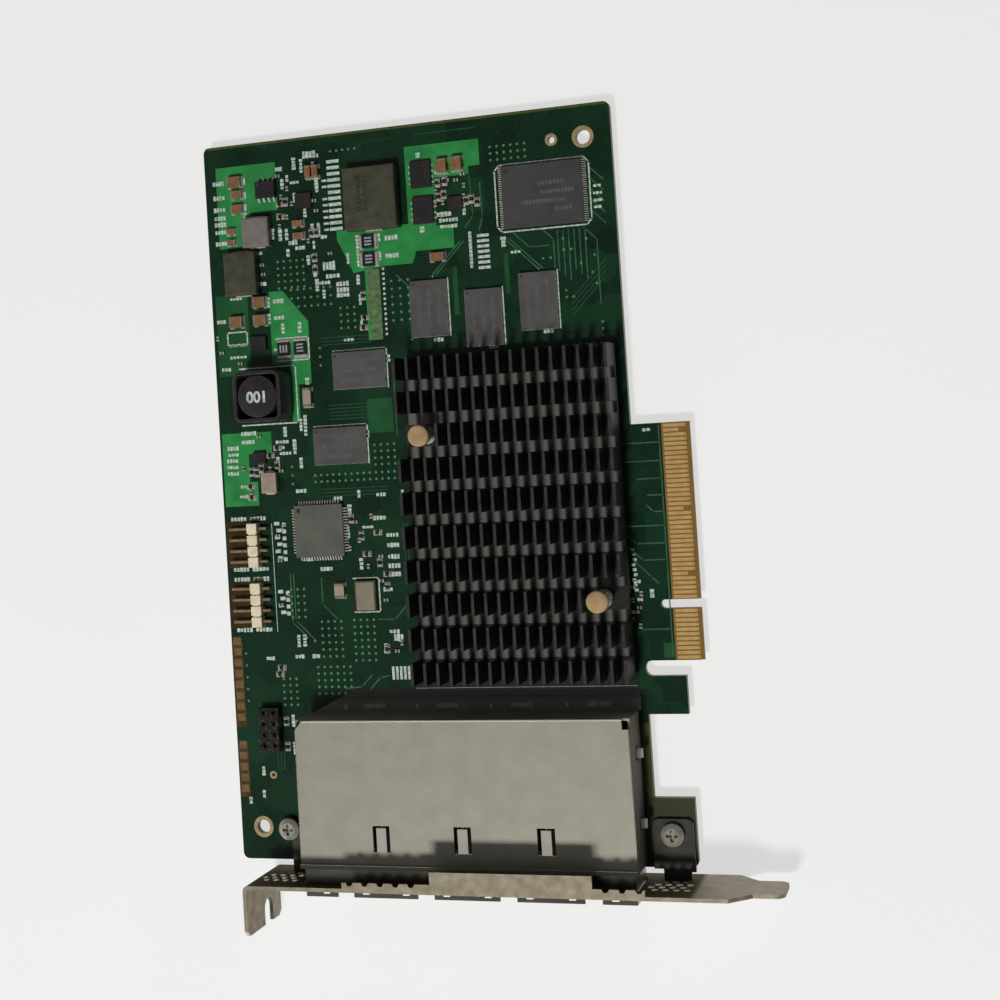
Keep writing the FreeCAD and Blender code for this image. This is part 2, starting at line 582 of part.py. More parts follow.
def port_cage():
    """Folded shell over the four ports, with spring tabs in its roof and windows in its sides."""
    shell = box(CAGE_LEFT, CAGE_RIGHT, CAGE_FRONT, CAGE_BACK, 0, CAGE_HEIGHT)
    rim_back = CAGE_FRONT + CAGE_RIM_WIDTH
    rim = box(CAGE_LEFT, CAGE_RIGHT, CAGE_FRONT, rim_back, CAGE_HEIGHT, CAGE_HEIGHT + CAGE_RIM_HEIGHT)
    shell = join([shell, rim])
    cuts = [box(CAGE_LEFT + CAGE_WALL, CAGE_RIGHT - CAGE_WALL, CAGE_FRONT, CAGE_BACK - CAGE_WALL,
                0, CAGE_HEIGHT - CAGE_WALL)]
    roof = CAGE_HEIGHT - CAGE_WALL
    for x in DIVIDERS:
        half = SPRING_TAB_WIDTH / 2
        root = CAGE_FRONT + SPRING_TAB_TO_FRONT
        end = root + SPRING_TAB_LENGTH
        for side in (x - half - SPRING_TAB_SLOT, x + half):
            cuts.append(box(side, side + SPRING_TAB_SLOT, root, end, roof, CAGE_HEIGHT))
        cuts.append(box(x - half - SPRING_TAB_SLOT, x + half + SPRING_TAB_SLOT,
                        end, end + SPRING_TAB_SLOT, roof, CAGE_HEIGHT))
    width, depth = CAGE_CORNER_NOTCH
    notch_floor = roof - CAGE_WALL
    cuts.append(box(CAGE_RIGHT - width, CAGE_RIGHT, CAGE_BACK - depth, CAGE_BACK, notch_floor, CAGE_HEIGHT))
    width, depth = CAGE_CORNER_CHAMFER
    corner = ((0, 0), (0, -depth), (width, 0))
    cuts.append(prism([Vector(CAGE_LEFT + a, CAGE_BACK + b, notch_floor) for a, b in corner],
                      Vector(0, 0, CAGE_HEIGHT - notch_floor)))
    for setback in SIDE_WINDOW_SETBACKS:
        y = CAGE_BACK - setback
        for x0 in (CAGE_LEFT, CAGE_RIGHT - CAGE_WALL):
            cuts.append(box(x0, x0 + CAGE_WALL, y - SIDE_WINDOW_LENGTH / 2, y + SIDE_WINDOW_LENGTH / 2,
                            SIDE_WINDOW_SILL, SIDE_WINDOW_SILL + SIDE_WINDOW_HEIGHT))
    return shell.cut(cuts)


def cage_dividers():
    """Sheet walls between neighbouring ports, standing on the board."""
    return [box(x - DIVIDER_THICKNESS / 2, x + DIVIDER_THICKNESS / 2, SHROUD_BACK + SHROUD_CLEARANCE,
                CAGE_BACK - CAGE_WALL, 0, CAGE_HEIGHT - CAGE_WALL - SHROUD_CLEARANCE) for x in DIVIDERS]


def port_shroud():
    """Collar of the four port mouths, with a latch notch and two latch windows over each port."""
    shroud = box(SHROUD_LEFT, SHROUD_RIGHT, SHROUD_FRONT, SHROUD_BACK, SHROUD_LOW, SHROUD_HIGH)
    walls = [SHROUD_LEFT + SHROUD_WALL / 2] + DIVIDERS + [SHROUD_RIGHT - SHROUD_WALL / 2]
    cuts = []
    for left, right in zip(walls, walls[1:]):
        cuts.append(box(left + SHROUD_WALL / 2, right - SHROUD_WALL / 2, SHROUD_FRONT, SHROUD_BACK,
                        SHROUD_LOW + SHROUD_WALL, SHROUD_HIGH - SHROUD_WALL))
    roof = SHROUD_HIGH - SHROUD_WALL
    window_width, window_length = LATCH_WINDOW
    for x in PORT_CENTRES:
        cuts.append(box(x - LATCH_NOTCH_WIDTH / 2, x + LATCH_NOTCH_WIDTH / 2,
                        SHROUD_FRONT, SHROUD_FRONT + LATCH_NOTCH_DEPTH, roof, SHROUD_HIGH))
        for side in (-LATCH_WINDOW_OFFSET, LATCH_WINDOW_OFFSET):
            y = SHROUD_FRONT + LATCH_WINDOW_SETBACK
            cuts.append(box(x + side - window_width / 2, x + side + window_width / 2,
                            y, y + window_length, roof, SHROUD_HIGH))
    return shroud.cut(cuts)


SOCKET_BACK = CAGE_BACK - CAGE_WALL - SHROUD_CLEARANCE
SOCKET_FRONT = SOCKET_BACK - SOCKET_DEPTH
SOCKET_NOSE_FRONT = SOCKET_FRONT - SOCKET_NOSE_DEPTH
SLOT_Z = SOCKET_HEIGHT / 2


def port_socket(x):
    """Moulded socket: a block on the board with a nose that holds the card-edge slot."""
    half = SOCKET_WIDTH / 2
    nose_half = SOCKET_NOSE_HEIGHT / 2
    body = join([box(x - half, x + half, SOCKET_FRONT, SOCKET_BACK, 0, SOCKET_HEIGHT),
                 box(x - half, x + half, SOCKET_NOSE_FRONT, SOCKET_FRONT,
                     SLOT_Z - nose_half, SLOT_Z + nose_half)])
    slot = box(x - SOCKET_SLOT_WIDTH / 2, x + SOCKET_SLOT_WIDTH / 2, SOCKET_NOSE_FRONT,
               SOCKET_NOSE_FRONT + SOCKET_SLOT_DEPTH,
               SLOT_Z - SOCKET_SLOT_HEIGHT / 2, SLOT_Z + SOCKET_SLOT_HEIGHT / 2)
    return body.cut(slot)


def socket_contacts(x):
    """Two rows of contact beams on the floor and roof of one socket's slot."""
    beams = []
    low = SLOT_Z - SOCKET_SLOT_HEIGHT / 2
    high = SLOT_Z + SOCKET_SLOT_HEIGHT / 2 - SOCKET_CONTACT_THICKNESS
    for i in range(SOCKET_CONTACTS):
        middle = x + (i - (SOCKET_CONTACTS - 1) / 2) * SOCKET_CONTACT_PITCH
        for z in (low, high):
            beams.append(box(middle - SOCKET_CONTACT_WIDTH / 2, middle + SOCKET_CONTACT_WIDTH / 2,
                             SOCKET_NOSE_FRONT + SHROUD_WALL, SOCKET_NOSE_FRONT + SOCKET_SLOT_DEPTH,
                             z, z + SOCKET_CONTACT_THICKNESS))
    return beams


def hexagon(centre, spoke, direction):
    """Six-sided bar drawn along a direction, from the centre of its end face and one spoke."""
    corners = [centre + FreeCAD.Rotation(direction, 60 * i).multVec(spoke) for i in range(6)]
    return prism(corners, direction)


def bracket():
    """Slot bracket folded from one sheet: plate, tongue, screw tab, hood flange and two board ears."""
    inner, outer = BRACKET_INNER, BRACKET_OUTER
    low, high = BRACKET_LOW, BRACKET_HIGH
    tongue_low = low + (BRACKET_WIDTH - TONGUE_WIDTH) / 2
    tongue_high = tongue_low + TONGUE_WIDTH
    taper_end = TONGUE_SHOULDER + TONGUE_TAPER
    outline = [(BRACKET_LEFT, low), (TONGUE_SHOULDER, low), (taper_end, tongue_low),
               (BRACKET_TONGUE_END, tongue_low), (BRACKET_TONGUE_END, tongue_high), (taper_end, tongue_high),
               (TONGUE_SHOULDER, high), (BRACKET_LEFT, high)]
    sheet = Vector(0, BRACKET_THICKNESS, 0)
    plate = prism([Vector(x, outer, z) for x, z in outline], sheet)
    tips = [e for e in plate.Edges
            if e.BoundBox.XMin > taper_end and e.BoundBox.YLength > BRACKET_THICKNESS / 2]
    plate = plate.makeFillet(TONGUE_TIP_RADIUS, tips)
    tab_end = inner - SCREW_TAB_LENGTH
    tab_outline = [(outer, low), (tab_end + TAB_CORNER, low), (tab_end, low + TAB_CORNER),
                   (tab_end, high - TAB_CORNER), (tab_end + TAB_CORNER, high), (outer, high)]
    tab = prism([Vector(BRACKET_LEFT, y, z) for y, z in tab_outline], Vector(BRACKET_THICKNESS, 0, 0))
    flange_floor = high - BRACKET_THICKNESS
    flange = box(FLANGE_SPAN[0], FLANGE_SPAN[1], inner, outer + FLANGE_DEPTH, flange_floor, high)
    hood = box(HOOD_SPAN[0], HOOD_SPAN[1], inner, outer + HOOD_DEPTH, flange_floor, high)
    right_ear = box(EAR_RIGHT_START, EAR_RIGHT_EDGE, inner, EAR_END, 0, BRACKET_THICKNESS)
    left_ear = box(EAR_LEFT_START, EAR_LEFT_START + EAR_WIDTH_LEFT, inner, SCREW_Y, 0, BRACKET_THICKNESS)
    eye = rod(*SCREW_PLACES[0], 0, EAR_EYE_DIAMETER, BRACKET_THICKNESS)
    body = join([plate, tab, flange, hood, right_ear, left_ear, eye])
    ear_corners = [(EAR_RIGHT_START, EAR_END), (EAR_RIGHT_EDGE, EAR_END)]
    body = body.makeFillet(EAR_CORNER_RADIUS, upright_edges(body, ear_corners))
    body = body.makeFillet(BEND_RADIUS, upright_edges(body, [(BRACKET_LEFT, inner)]))

    cuts = [box(WINDOW_LEFT, WINDOW_RIGHT, outer, inner,
                SHROUD_LOW - WINDOW_CLEARANCE, SHROUD_HIGH + WINDOW_CLEARANCE)]
    slot_z = low + SCREW_SLOT_HEIGHT + SCREW_SLOT_WIDTH / 2
    slot_root = tab_end + SCREW_SLOT_DEPTH - SCREW_SLOT_WIDTH / 2
    cuts.append(box(BRACKET_LEFT, BRACKET_LEFT + BRACKET_THICKNESS, tab_end, slot_root,
                    slot_z - SCREW_SLOT_WIDTH / 2, slot_z + SCREW_SLOT_WIDTH / 2))
    cuts.append(Part.makeCylinder(SCREW_SLOT_WIDTH / 2, BRACKET_THICKNESS,
                                  Vector(BRACKET_LEFT, slot_root, slot_z), Vector(1, 0, 0)))
    cuts.append(box(BRACKET_LEFT, BRACKET_LEFT + BRACKET_THICKNESS, outer - TAB_RELIEF[0], outer,
                    low, low + TAB_RELIEF[1]))
    vent_spoke = Vector(0, 0, VENT_FLAT / 3 ** 0.5)
    for start in (LEFT_VENT_START, RIGHT_VENT_START):
        for row in range(VENT_ROWS):
            for column in range(VENT_COLUMNS):
                x = start + (column + 0.5 * (row % 2)) * VENT_PITCH
                cuts.append(hexagon(Vector(x, outer, VENT_FLOOR + row * VENT_ROW_PITCH), vent_spoke, sheet))
    upward = Vector(0, 0, BRACKET_THICKNESS)
    clear = SCALLOP_WIDTH / 2
    count = int((FLANGE_SPAN[1] - FLANGE_SPAN[0]) / SCALLOP_PITCH)
    for i in range(count + 1):
        x = FLANGE_SPAN[0] + (i + 0.5) * SCALLOP_PITCH
        if x + clear < HOOD_SPAN[0] or HOOD_SPAN[1] < x - clear and x + clear < FLANGE_SPAN[1]:
            cuts.append(hexagon(Vector(x, outer + FLANGE_DEPTH, flange_floor), Vector(clear, 0, 0), upward))
    right_relief = EAR_RIGHT_EDGE - EAR_RELIEF_RIGHT[0]
    for x, (width, depth) in ((EAR_RIGHT_START, EAR_RELIEF_LEFT), (right_relief, EAR_RELIEF_RIGHT)):
        cuts.append(box(x, x + width, inner, inner + depth, 0, BRACKET_THICKNESS))
    cuts += [rod(x, y, 0, SCREW_HOLE_DIAMETER, BRACKET_THICKNESS) for x, y in SCREW_PLACES]
    return body.cut(cuts)


def bracket_screw(x, y):
    """Cross-head machine screw through ear and board."""
    seat = BRACKET_THICKNESS
    end = UNDERSIDE - NUT_THICKNESS
    top = seat + SCREW_HEAD_HEIGHT
    radius = SCREW_HEAD_DIAMETER / 2
    setback, rise = SCREW_CROWN
    crown = Part.makeCone(radius, radius - setback, rise, Vector(x, y, top - rise))
    screw = join([crown, rod(x, y, seat, SCREW_HEAD_DIAMETER, SCREW_HEAD_HEIGHT - rise),
                  rod(x, y, end, SCREW_DIAMETER, seat - end)])
    length, width, depth = SCREW_RECESS
    return screw.cut([block(x, y, top - depth, (length, width, depth)),
                      block(x, y, top - depth, (width, length, depth))])


def bracket_nut(x, y):
    """Hexagon nut under the board, threaded on the bracket screw."""
    floor = UNDERSIDE - NUT_THICKNESS
    nut = hexagon(Vector(x, y, floor), Vector(NUT_FLATS / 3 ** 0.5, 0, 0), Vector(0, 0, NUT_THICKNESS))
    return nut.cut(rod(x, y, floor, SCREW_DIAMETER, NUT_THICKNESS))


def gull_lead(edge, middle, width, side, axis):
    """Formed lead that leaves a package edge at half height, slopes down and lies on the board."""
    thick = LEAD_THICKNESS
    heel = LEAD_REACH - LEAD_FOOT
    outline = [(0, LEAD_SHOULDER), (LEAD_REACH, thick), (LEAD_REACH, 0), (heel, 0),
               (0, LEAD_SHOULDER - thick)]
    if axis == "x":
        points = [Vector(edge + side * a, middle - width / 2, b) for a, b in outline]
        return prism(points, Vector(0, width, 0))
    points = [Vector(middle - width / 2, edge + side * a, b) for a, b in outline]
    return prism(points, Vector(width, 0, 0))


def lead_row(x, y, body, count, pitch, width, axis):
    """Leads along the two opposite edges of a package that face along the given axis."""
    leads = []
    half = body[0] / 2 if axis == "x" else body[1] / 2
    for side in (-1, 1):
        for i in range(count):
            offset = (i - (count - 1) / 2) * pitch
            edge, middle = (x + side * half, y + offset) if axis == "x" else (y + side * half, x + offset)
            leads.append(gull_lead(edge, middle, width, side, axis))
    return leads


def transistor_leads(x, y):
    """Flat leads along the two long sides of one power transistor."""
    length, width, thick = TRANSISTOR_LEAD
    offset = (TRANSISTOR_BODY[0] + length) / 2
    first = -(TRANSISTOR_LEADS - 1) / 2 * TRANSISTOR_LEAD_PITCH
    return [block(x + side * offset, y + first + i * TRANSISTOR_LEAD_PITCH, 0, (length, width, thick))
            for side in (-1, 1) for i in range(TRANSISTOR_LEADS)]


def end_capped(x, y, size, cap, axis):
    """Chip body along one axis, and its two metal end caps."""
    length, width, height = size
    if axis == "x":
        body = block(x, y, 0, (length - 2 * cap, width, height))
        ends = [block(x + s * (length - cap) / 2, y, 0, (cap, width, height)) for s in (-1, 1)]
    else:
        body = block(x, y, 0, (width, length - 2 * cap, height))
        ends = [block(x, y + s * (length - cap) / 2, 0, (width, cap, height)) for s in (-1, 1)]
    return body, ends


def apart(pieces):
    """Bodies and end caps of several chips, as two lists."""
    return [body for body, _ in pieces], [end for _, ends in pieces for end in ends]


def capacitors():
    """All ceramic capacitors, as bodies and end caps."""
    placed = [(LEFT + a, TOP - b, (c, d, e), "x") for a, b, c, d, e in LEFT_CAPACITORS]
    placed += [(LEFT + a, TOP - b, (c, d, e), "y") for a, b, c, d, e in LEFT_UPRIGHT_CAPACITORS]
    placed += [(RIGHT - a, TOP - b, (c, d, e), "y") for a, b, c, d, e in RIGHT_CAPACITORS]
    a, b, c, d, e = RIGHT_LEVEL_CAPACITOR
    placed.append((RIGHT - a, TOP - b, (c, d, e), "x"))
    a, b, c, d, e = CLOCK_CAPACITOR
    placed.append((LEFT + a, b, (c, d, e), "y"))
    return apart([end_capped(x, y, size, CAPACITOR_CAP, axis) for x, y, size, axis in placed])


def sense_resistors():
    """Flat current-sense resistors with a metal cap on each end."""
    pieces = [end_capped(LEFT + a, TOP - b, SENSE_SIZE, SENSE_CAP, "y") for a, b in UPRIGHT_SENSE]
    pieces += [end_capped(RIGHT - a, TOP - b, SENSE_SIZE, SENSE_CAP, "x") for a, b in LEVEL_SENSE]
    return apart(pieces)


def chip_passives():
    """Small chip resistors and capacitors strewn round the power and clock circuits."""
    placed = [(LEFT + a, TOP - b, "x") for a, b in UPPER_LEVEL_PASSIVES]
    placed += [(LEFT + a, TOP - b, "y") for a, b in UPPER_UPRIGHT_PASSIVES]
    placed += [(RIGHT - a, TOP - b, "y") for a, b in DRIVER_PASSIVES]
    placed += [(LEFT + a, y, "x") for a, y in LOWER_LEVEL_PASSIVES]
    placed += [(LEFT + a, y, "y") for a, y in LOWER_UPRIGHT_PASSIVES]
    return apart([end_capped(x, y, PASSIVE_SIZE, PASSIVE_CAP, axis) for x, y, axis in placed])


def moulded_inductor(x, y, size):
    """Pressed-powder inductor block with softened top edges."""
    return soften_top(block(x, y, 0, size), size[2], INDUCTOR_EDGE)


def inductor_clips():
    """Flat solder clips on the two ends of each moulded inductor."""
    clips = []
    width, thick, height = INDUCTOR_CLIP
    for (x, y), (_, length, _) in ((POWER_PLACE, POWER_INDUCTOR), (SMALL_PLACE, SMALL_INDUCTOR),
                                        (BLOCK_PLACE, BLOCK_INDUCTOR)):
        for side in (-1, 1):
            clips.append(block(x, y + side * (length + thick) / 2, 0, (width, thick, height)))
    return clips


POWER_PLACE = (RIGHT - POWER_INDUCTOR_FROM_RIGHT, TOP - POWER_INDUCTOR_FROM_TOP)
SMALL_PLACE = (LEFT + SMALL_INDUCTOR_FROM_LEFT, TOP - SMALL_INDUCTOR_FROM_TOP)
BLOCK_PLACE = (LEFT + BLOCK_INDUCTOR_FROM_LEFT, TOP - BLOCK_INDUCTOR_FROM_TOP)
DRUM_PLACE = (LEFT + DRUM_FROM_LEFT, TOP - DRUM_FROM_TOP)


def drum_frame():
    """Ferrite shield: a round-cornered square tub that the drum core stands in."""
    x, y = DRUM_PLACE
    well = DRUM_WIDTH - 2 * DRUM_WALL
    shield = block(x, y, 0, (DRUM_WIDTH, DRUM_WIDTH, DRUM_HEIGHT))
    shield = shield.makeFillet(DRUM_CORNER_RADIUS, upright_edges(shield, square_corners(x, y, DRUM_WIDTH)))
    hollow = block(x, y, DRUM_BASE_THICKNESS, (well, well, DRUM_HEIGHT - DRUM_BASE_THICKNESS))
    hollow = hollow.makeFillet(DRUM_WELL_RADIUS, upright_edges(hollow, square_corners(x, y, well)))
    return shield.cut(hollow)


def drum_core():
    """Round ferrite drum with the winding inside its waist, drawn by its outside."""
    diameter = DRUM_WIDTH - 2 * DRUM_WALL - 2 * DRUM_CORE_CLEARANCE
    return rod(*DRUM_PLACE, DRUM_BASE_THICKNESS, diameter, DRUM_HEIGHT - DRUM_BASE_THICKNESS - DRUM_CORE_DROP)


def right_angle_header(place):
    """Moulded body of a right-angle header, grooved between its pins."""
    x = LEFT + HEADER_FROM_LEFT
    length = HEADER_PINS * HEADER_PITCH
    body = block(x, place, 0, (HEADER_BODY_DEPTH, length, HEADER_BODY_HEIGHT))
    cuts = []
    for i in range(1, HEADER_PINS):
        y = place + (i - HEADER_PINS / 2) * HEADER_PITCH
        for side in (-1, 1):
            cuts.append(block(x + side * HEADER_BODY_DEPTH / 2, y, 0,
                              (2 * HEADER_GROOVE, HEADER_GROOVE, HEADER_BODY_HEIGHT)))
        cuts.append(block(x, y, HEADER_BODY_HEIGHT - HEADER_GROOVE,
                          (HEADER_BODY_DEPTH, HEADER_GROOVE, HEADER_GROOVE)))
    for i in range(HEADER_PINS):
        y = place + (i - (HEADER_PINS - 1) / 2) * HEADER_PITCH
        cuts.append(block(x, y, HEADER_BODY_HEIGHT / 2 - HEADER_PIN / 2,
                          (HEADER_BODY_DEPTH, HEADER_PIN, HEADER_PIN)))
    return body.cut(cuts)


def header_pin(tail_x, y):
    """Square pin bent once: out over the left edge and down through the board."""
    low = HEADER_BODY_HEIGHT / 2 - HEADER_PIN / 2
    high = low + HEADER_PIN
    front = LEFT + HEADER_FROM_LEFT - HEADER_BODY_DEPTH / 2 - HEADER_PIN_REACH
    tip = UNDERSIDE - HEADER_TAIL_LENGTH
    half = HEADER_PIN / 2
    outline = [(front, low), (front, high), (tail_x + half, high), (tail_x + half, tip),
               (tail_x - half, tip), (tail_x - half, low)]
    return prism([Vector(x, y - half, z) for x, z in outline], Vector(0, HEADER_PIN, 0))


def block_header():
    """Black two-row surface-mount header: its body, and the straight pins soldered to the board."""
    pins = block_header_pins()
    size = (BLOCK_HEADER_ROWS * HEADER_PITCH, BLOCK_HEADER_COLUMNS * HEADER_PITCH, BLOCK_HEADER_HEIGHT)
    body = block(LEFT + BLOCK_HEADER_FROM_LEFT, BLOCK_HEADER_Y, 0, size)
    holes = [block(x, y, 0, (HEADER_PIN, HEADER_PIN, BLOCK_HEADER_HEIGHT)) for x, y in pins]
    rise = BLOCK_HEADER_HEIGHT + BLOCK_HEADER_PIN_RISE
    return body.cut(holes), [block(x, y, 0, (HEADER_PIN, HEADER_PIN, rise)) for x, y in pins]


os.makedirs("parts", exist_ok=True)

# Board, contacts and pads
save("circuit_board", circuit_board())
save("edge_contacts_top", *edge_contacts(0, PRESENCE_CONTACTS))
save("edge_contacts_bottom", *edge_contacts(UNDERSIDE - CONTACT_THICKNESS, (1,)))
save("hole_rings", *hole_rings())
save("edge_pads", *edge_pads())

# Controller and its cooler
save("controller_chip", block(SINK_CENTRE_X, SINK_CENTRE_Y, 0, (CHIP_WIDTH, CHIP_WIDTH, CHIP_THICKNESS)))
pad_width = CHIP_WIDTH - 2 * PAD_MARGIN
pad_size = (pad_width, pad_width, PAD_THICKNESS)
save("thermal_pad", block(SINK_CENTRE_X, SINK_CENTRE_Y, CHIP_THICKNESS, pad_size))
save("heat_sink", heat_sink())
save("push_pins", *[push_pin(x, y) for x, y in PIN_PLACES])
save("pin_springs", *[pin_spring(x, y) for x, y in PIN_PLACES])

# Ports and bracket
save("port_cage", port_cage())
save("cage_dividers", *cage_dividers())
save("port_shroud", port_shroud())
for number, centre in enumerate(PORT_CENTRES, 1):
    save("port_socket_%d" % number, port_socket(centre))
save("socket_contacts", *[beam for centre in PORT_CENTRES for beam in socket_contacts(centre)])
save("bracket", bracket())
save("bracket_screws", *[bracket_screw(x, y) for x, y in SCREW_PLACES])
save("bracket_nuts", *[bracket_nut(x, y) for x, y in SCREW_PLACES])

# Memory and logic chips
FLASH_PLACE = (RIGHT - FLASH_FROM_RIGHT, TOP - FLASH_FROM_TOP)
save("flash_chip", block(*FLASH_PLACE, BODY_STANDOFF, FLASH_BODY))
save("flash_leads", *lead_row(*FLASH_PLACE, FLASH_BODY, FLASH_LEADS, FLASH_LEAD_PITCH, FLASH_LEAD_WIDTH, "x"))
upright = [(SINK_CENTRE_X + a, SINK_TOP + b + MEMORY_LENGTH / 2, MEMORY_WIDTH, MEMORY_LENGTH)
           for a, b in UPRIGHT_MEMORY]
lying = [(SINK_LEFT - a - MEMORY_LENGTH / 2, SINK_CENTRE_Y + b, MEMORY_LENGTH, MEMORY_WIDTH)
         for a, b in LYING_MEMORY]
for number, (x, y, width, length) in enumerate(upright + lying, 1):
    save("memory_chip_%d" % number, block(x, y, 0, (width, length, MEMORY_THICKNESS)))
LOGIC_BODY = (LOGIC_WIDTH, LOGIC_WIDTH, LOGIC_THICKNESS)
LOGIC_PLACE = (LEFT + LOGIC_FROM_LEFT, LOGIC_Y)
save("logic_chip", block(*LOGIC_PLACE, BODY_STANDOFF, LOGIC_BODY))
logic_leads = []
for axis in "xy":
    logic_leads += lead_row(*LOGIC_PLACE, LOGIC_BODY, LOGIC_LEADS, LOGIC_LEAD_PITCH, LOGIC_LEAD_WIDTH, axis)
save("logic_leads", *logic_leads)
REGULATOR_PLACE = (LEFT + REGULATOR_FROM_LEFT, TOP - REGULATOR_FROM_TOP)
save("regulator_chip", block(*REGULATOR_PLACE, BODY_STANDOFF, REGULATOR_BODY))
save("regulator_leads", *lead_row(*REGULATOR_PLACE, REGULATOR_BODY, REGULATOR_LEADS, REGULATOR_LEAD_PITCH,
                                  REGULATOR_LEAD_WIDTH, "y"))
small_chips = [block(LEFT + a, TOP - b, 0, (c, d, e)) for a, b, c, d, e in LEADLESS_CHIPS]
small_chips.append(block(RIGHT - DRIVER_CHIP[0], TOP - DRIVER_CHIP[1], 0, DRIVER_CHIP[2:]))
small_chips.append(block(LEFT + MONITOR_CHIP[0], MONITOR_CHIP[1], 0, MONITOR_CHIP[2:]))
save("small_chips", *small_chips)
transistors = [(RIGHT - a, TOP - b) for a, b in TRANSISTORS]
save("power_transistors", *[block(x, y, 0, TRANSISTOR_BODY) for x, y in transistors])
save("transistor_leads", *[lead for x, y in transistors for lead in transistor_leads(x, y)])

# Inductors and passives
save("power_inductor", moulded_inductor(*POWER_PLACE, POWER_INDUCTOR))
save("small_inductor", moulded_inductor(*SMALL_PLACE, SMALL_INDUCTOR))
save("block_inductor", moulded_inductor(*BLOCK_PLACE, BLOCK_INDUCTOR))
save("inductor_clips", *inductor_clips())
save("drum_frame", drum_frame())
save("drum_core", drum_core())
capacitor_bodies, capacitor_ends = capacitors()
save("capacitor_bodies", *capacitor_bodies)
save("capacitor_ends", *capacitor_ends)
sense_bodies, sense_caps = sense_resistors()
save("sense_resistors", *sense_bodies)
save("sense_caps", *sense_caps)
passive_bodies, passive_ends = chip_passives()
save("chip_passives", *passive_bodies)
save("passive_ends", *passive_ends)
OSCILLATOR_AT = (LEFT + OSCILLATOR_PLACE[0], OSCILLATOR_PLACE[1])
save("oscillator", block(*OSCILLATOR_AT, 0, OSCILLATOR_BODY))
lid = (OSCILLATOR_BODY[0] - 2 * OSCILLATOR_LID_INSET, OSCILLATOR_BODY[1] - 2 * OSCILLATOR_LID_INSET)
save("oscillator_lid", block(*OSCILLATOR_AT, OSCILLATOR_BODY[2], lid + (OSCILLATOR_LID_THICKNESS,)))
TANTALUM_AT = (LEFT + TANTALUM_PLACE[0], TANTALUM_PLACE[1])
save("tantalum_capacitor", block(*TANTALUM_AT, 0, TANTALUM_BODY))
foot, foot_width, foot_height = TANTALUM_FOOT
save("tantalum_feet", *[block(TANTALUM_AT[0], TANTALUM_AT[1] + s * (TANTALUM_BODY[1] + foot) / 2, 0,
                              (foot_width, foot, foot_height)) for s in (-1, 1)])

# Headers
save("right_angle_headers", *[right_angle_header(place) for place in HEADER_PLACES])
save("header_pins", *[header_pin(x, y) for x, y in header_tails()])
header_body, header_posts = block_header()
save("block_header", header_body)
save("block_header_pins", *header_posts)
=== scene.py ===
import json
import math
import random

import bmesh
import bpy
from mathutils import Matrix, Quaternion, Vector

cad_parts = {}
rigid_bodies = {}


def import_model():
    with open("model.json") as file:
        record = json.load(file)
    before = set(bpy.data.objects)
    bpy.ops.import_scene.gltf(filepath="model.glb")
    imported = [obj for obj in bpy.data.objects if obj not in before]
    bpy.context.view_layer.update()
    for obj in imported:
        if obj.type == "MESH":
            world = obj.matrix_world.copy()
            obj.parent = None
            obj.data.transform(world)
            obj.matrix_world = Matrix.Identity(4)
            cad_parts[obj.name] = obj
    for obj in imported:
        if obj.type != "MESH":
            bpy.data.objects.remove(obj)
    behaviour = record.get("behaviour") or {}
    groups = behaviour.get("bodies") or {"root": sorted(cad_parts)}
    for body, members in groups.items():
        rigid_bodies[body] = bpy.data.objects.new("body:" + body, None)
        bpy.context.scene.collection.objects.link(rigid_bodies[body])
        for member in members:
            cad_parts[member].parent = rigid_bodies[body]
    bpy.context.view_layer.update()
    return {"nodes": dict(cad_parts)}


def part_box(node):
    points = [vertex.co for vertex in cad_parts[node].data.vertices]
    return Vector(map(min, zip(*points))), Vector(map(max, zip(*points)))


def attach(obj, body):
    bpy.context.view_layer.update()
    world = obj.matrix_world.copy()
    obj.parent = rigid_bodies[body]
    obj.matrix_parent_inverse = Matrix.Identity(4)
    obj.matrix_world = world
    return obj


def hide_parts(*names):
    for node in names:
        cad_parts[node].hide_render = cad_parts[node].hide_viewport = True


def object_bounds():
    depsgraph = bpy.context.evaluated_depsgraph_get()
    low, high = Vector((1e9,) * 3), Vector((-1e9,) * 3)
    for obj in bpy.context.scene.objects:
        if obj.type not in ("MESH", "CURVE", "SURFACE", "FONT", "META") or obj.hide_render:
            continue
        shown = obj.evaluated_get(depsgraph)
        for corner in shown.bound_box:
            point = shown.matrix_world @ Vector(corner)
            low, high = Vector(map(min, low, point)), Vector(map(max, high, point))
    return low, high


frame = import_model()

# Circuit board. Glass-epoxy laminate routed to its outline and coated on both faces with dark green solder
# mask. All other pieces are soldered, clipped or screwed to it. Sizes here are in millimetres, colours as on
# a screen.
mm = 0.001
solids = frame["nodes"]


def tone(red, green, blue):
    """Screen colour, 0 to 255, as the linear colour that a shader takes."""
    return tuple((v / 255) ** 2.2 for v in (red, green, blue)) + (1.0,)


def add(tree, kind, inputs=None, **settings):
    """Shader node with its settings; each input is a value or the output of another node."""
    node = tree.nodes.new("ShaderNode" + kind)
    for name, value in settings.items():
        setattr(node, name, value)
    for socket, value in (inputs or {}).items():
        if isinstance(value, bpy.types.NodeSocket):
            tree.links.new(value, node.inputs[socket])
        else:
            node.inputs[socket].default_value = value
    return node


def math_node(tree, operation, *values):
    """Output of one sum on its values."""
    return add(tree, "Math", dict(enumerate(values)), operation=operation).outputs[0]


def ramp(tree, value, start, end):
    """Output that goes from 0 to 1 as a value goes from start to end."""
    return add(tree, "MapRange", {"Value": value, "From Min": start, "From Max": end}).outputs["Result"]


def noise(tree, place, scale, detail=2.0):
    """Output of a cloudy pattern."""
    return add(tree, "TexNoise", {"Vector": place, "Scale": scale, "Detail": detail}).outputs["Fac"]


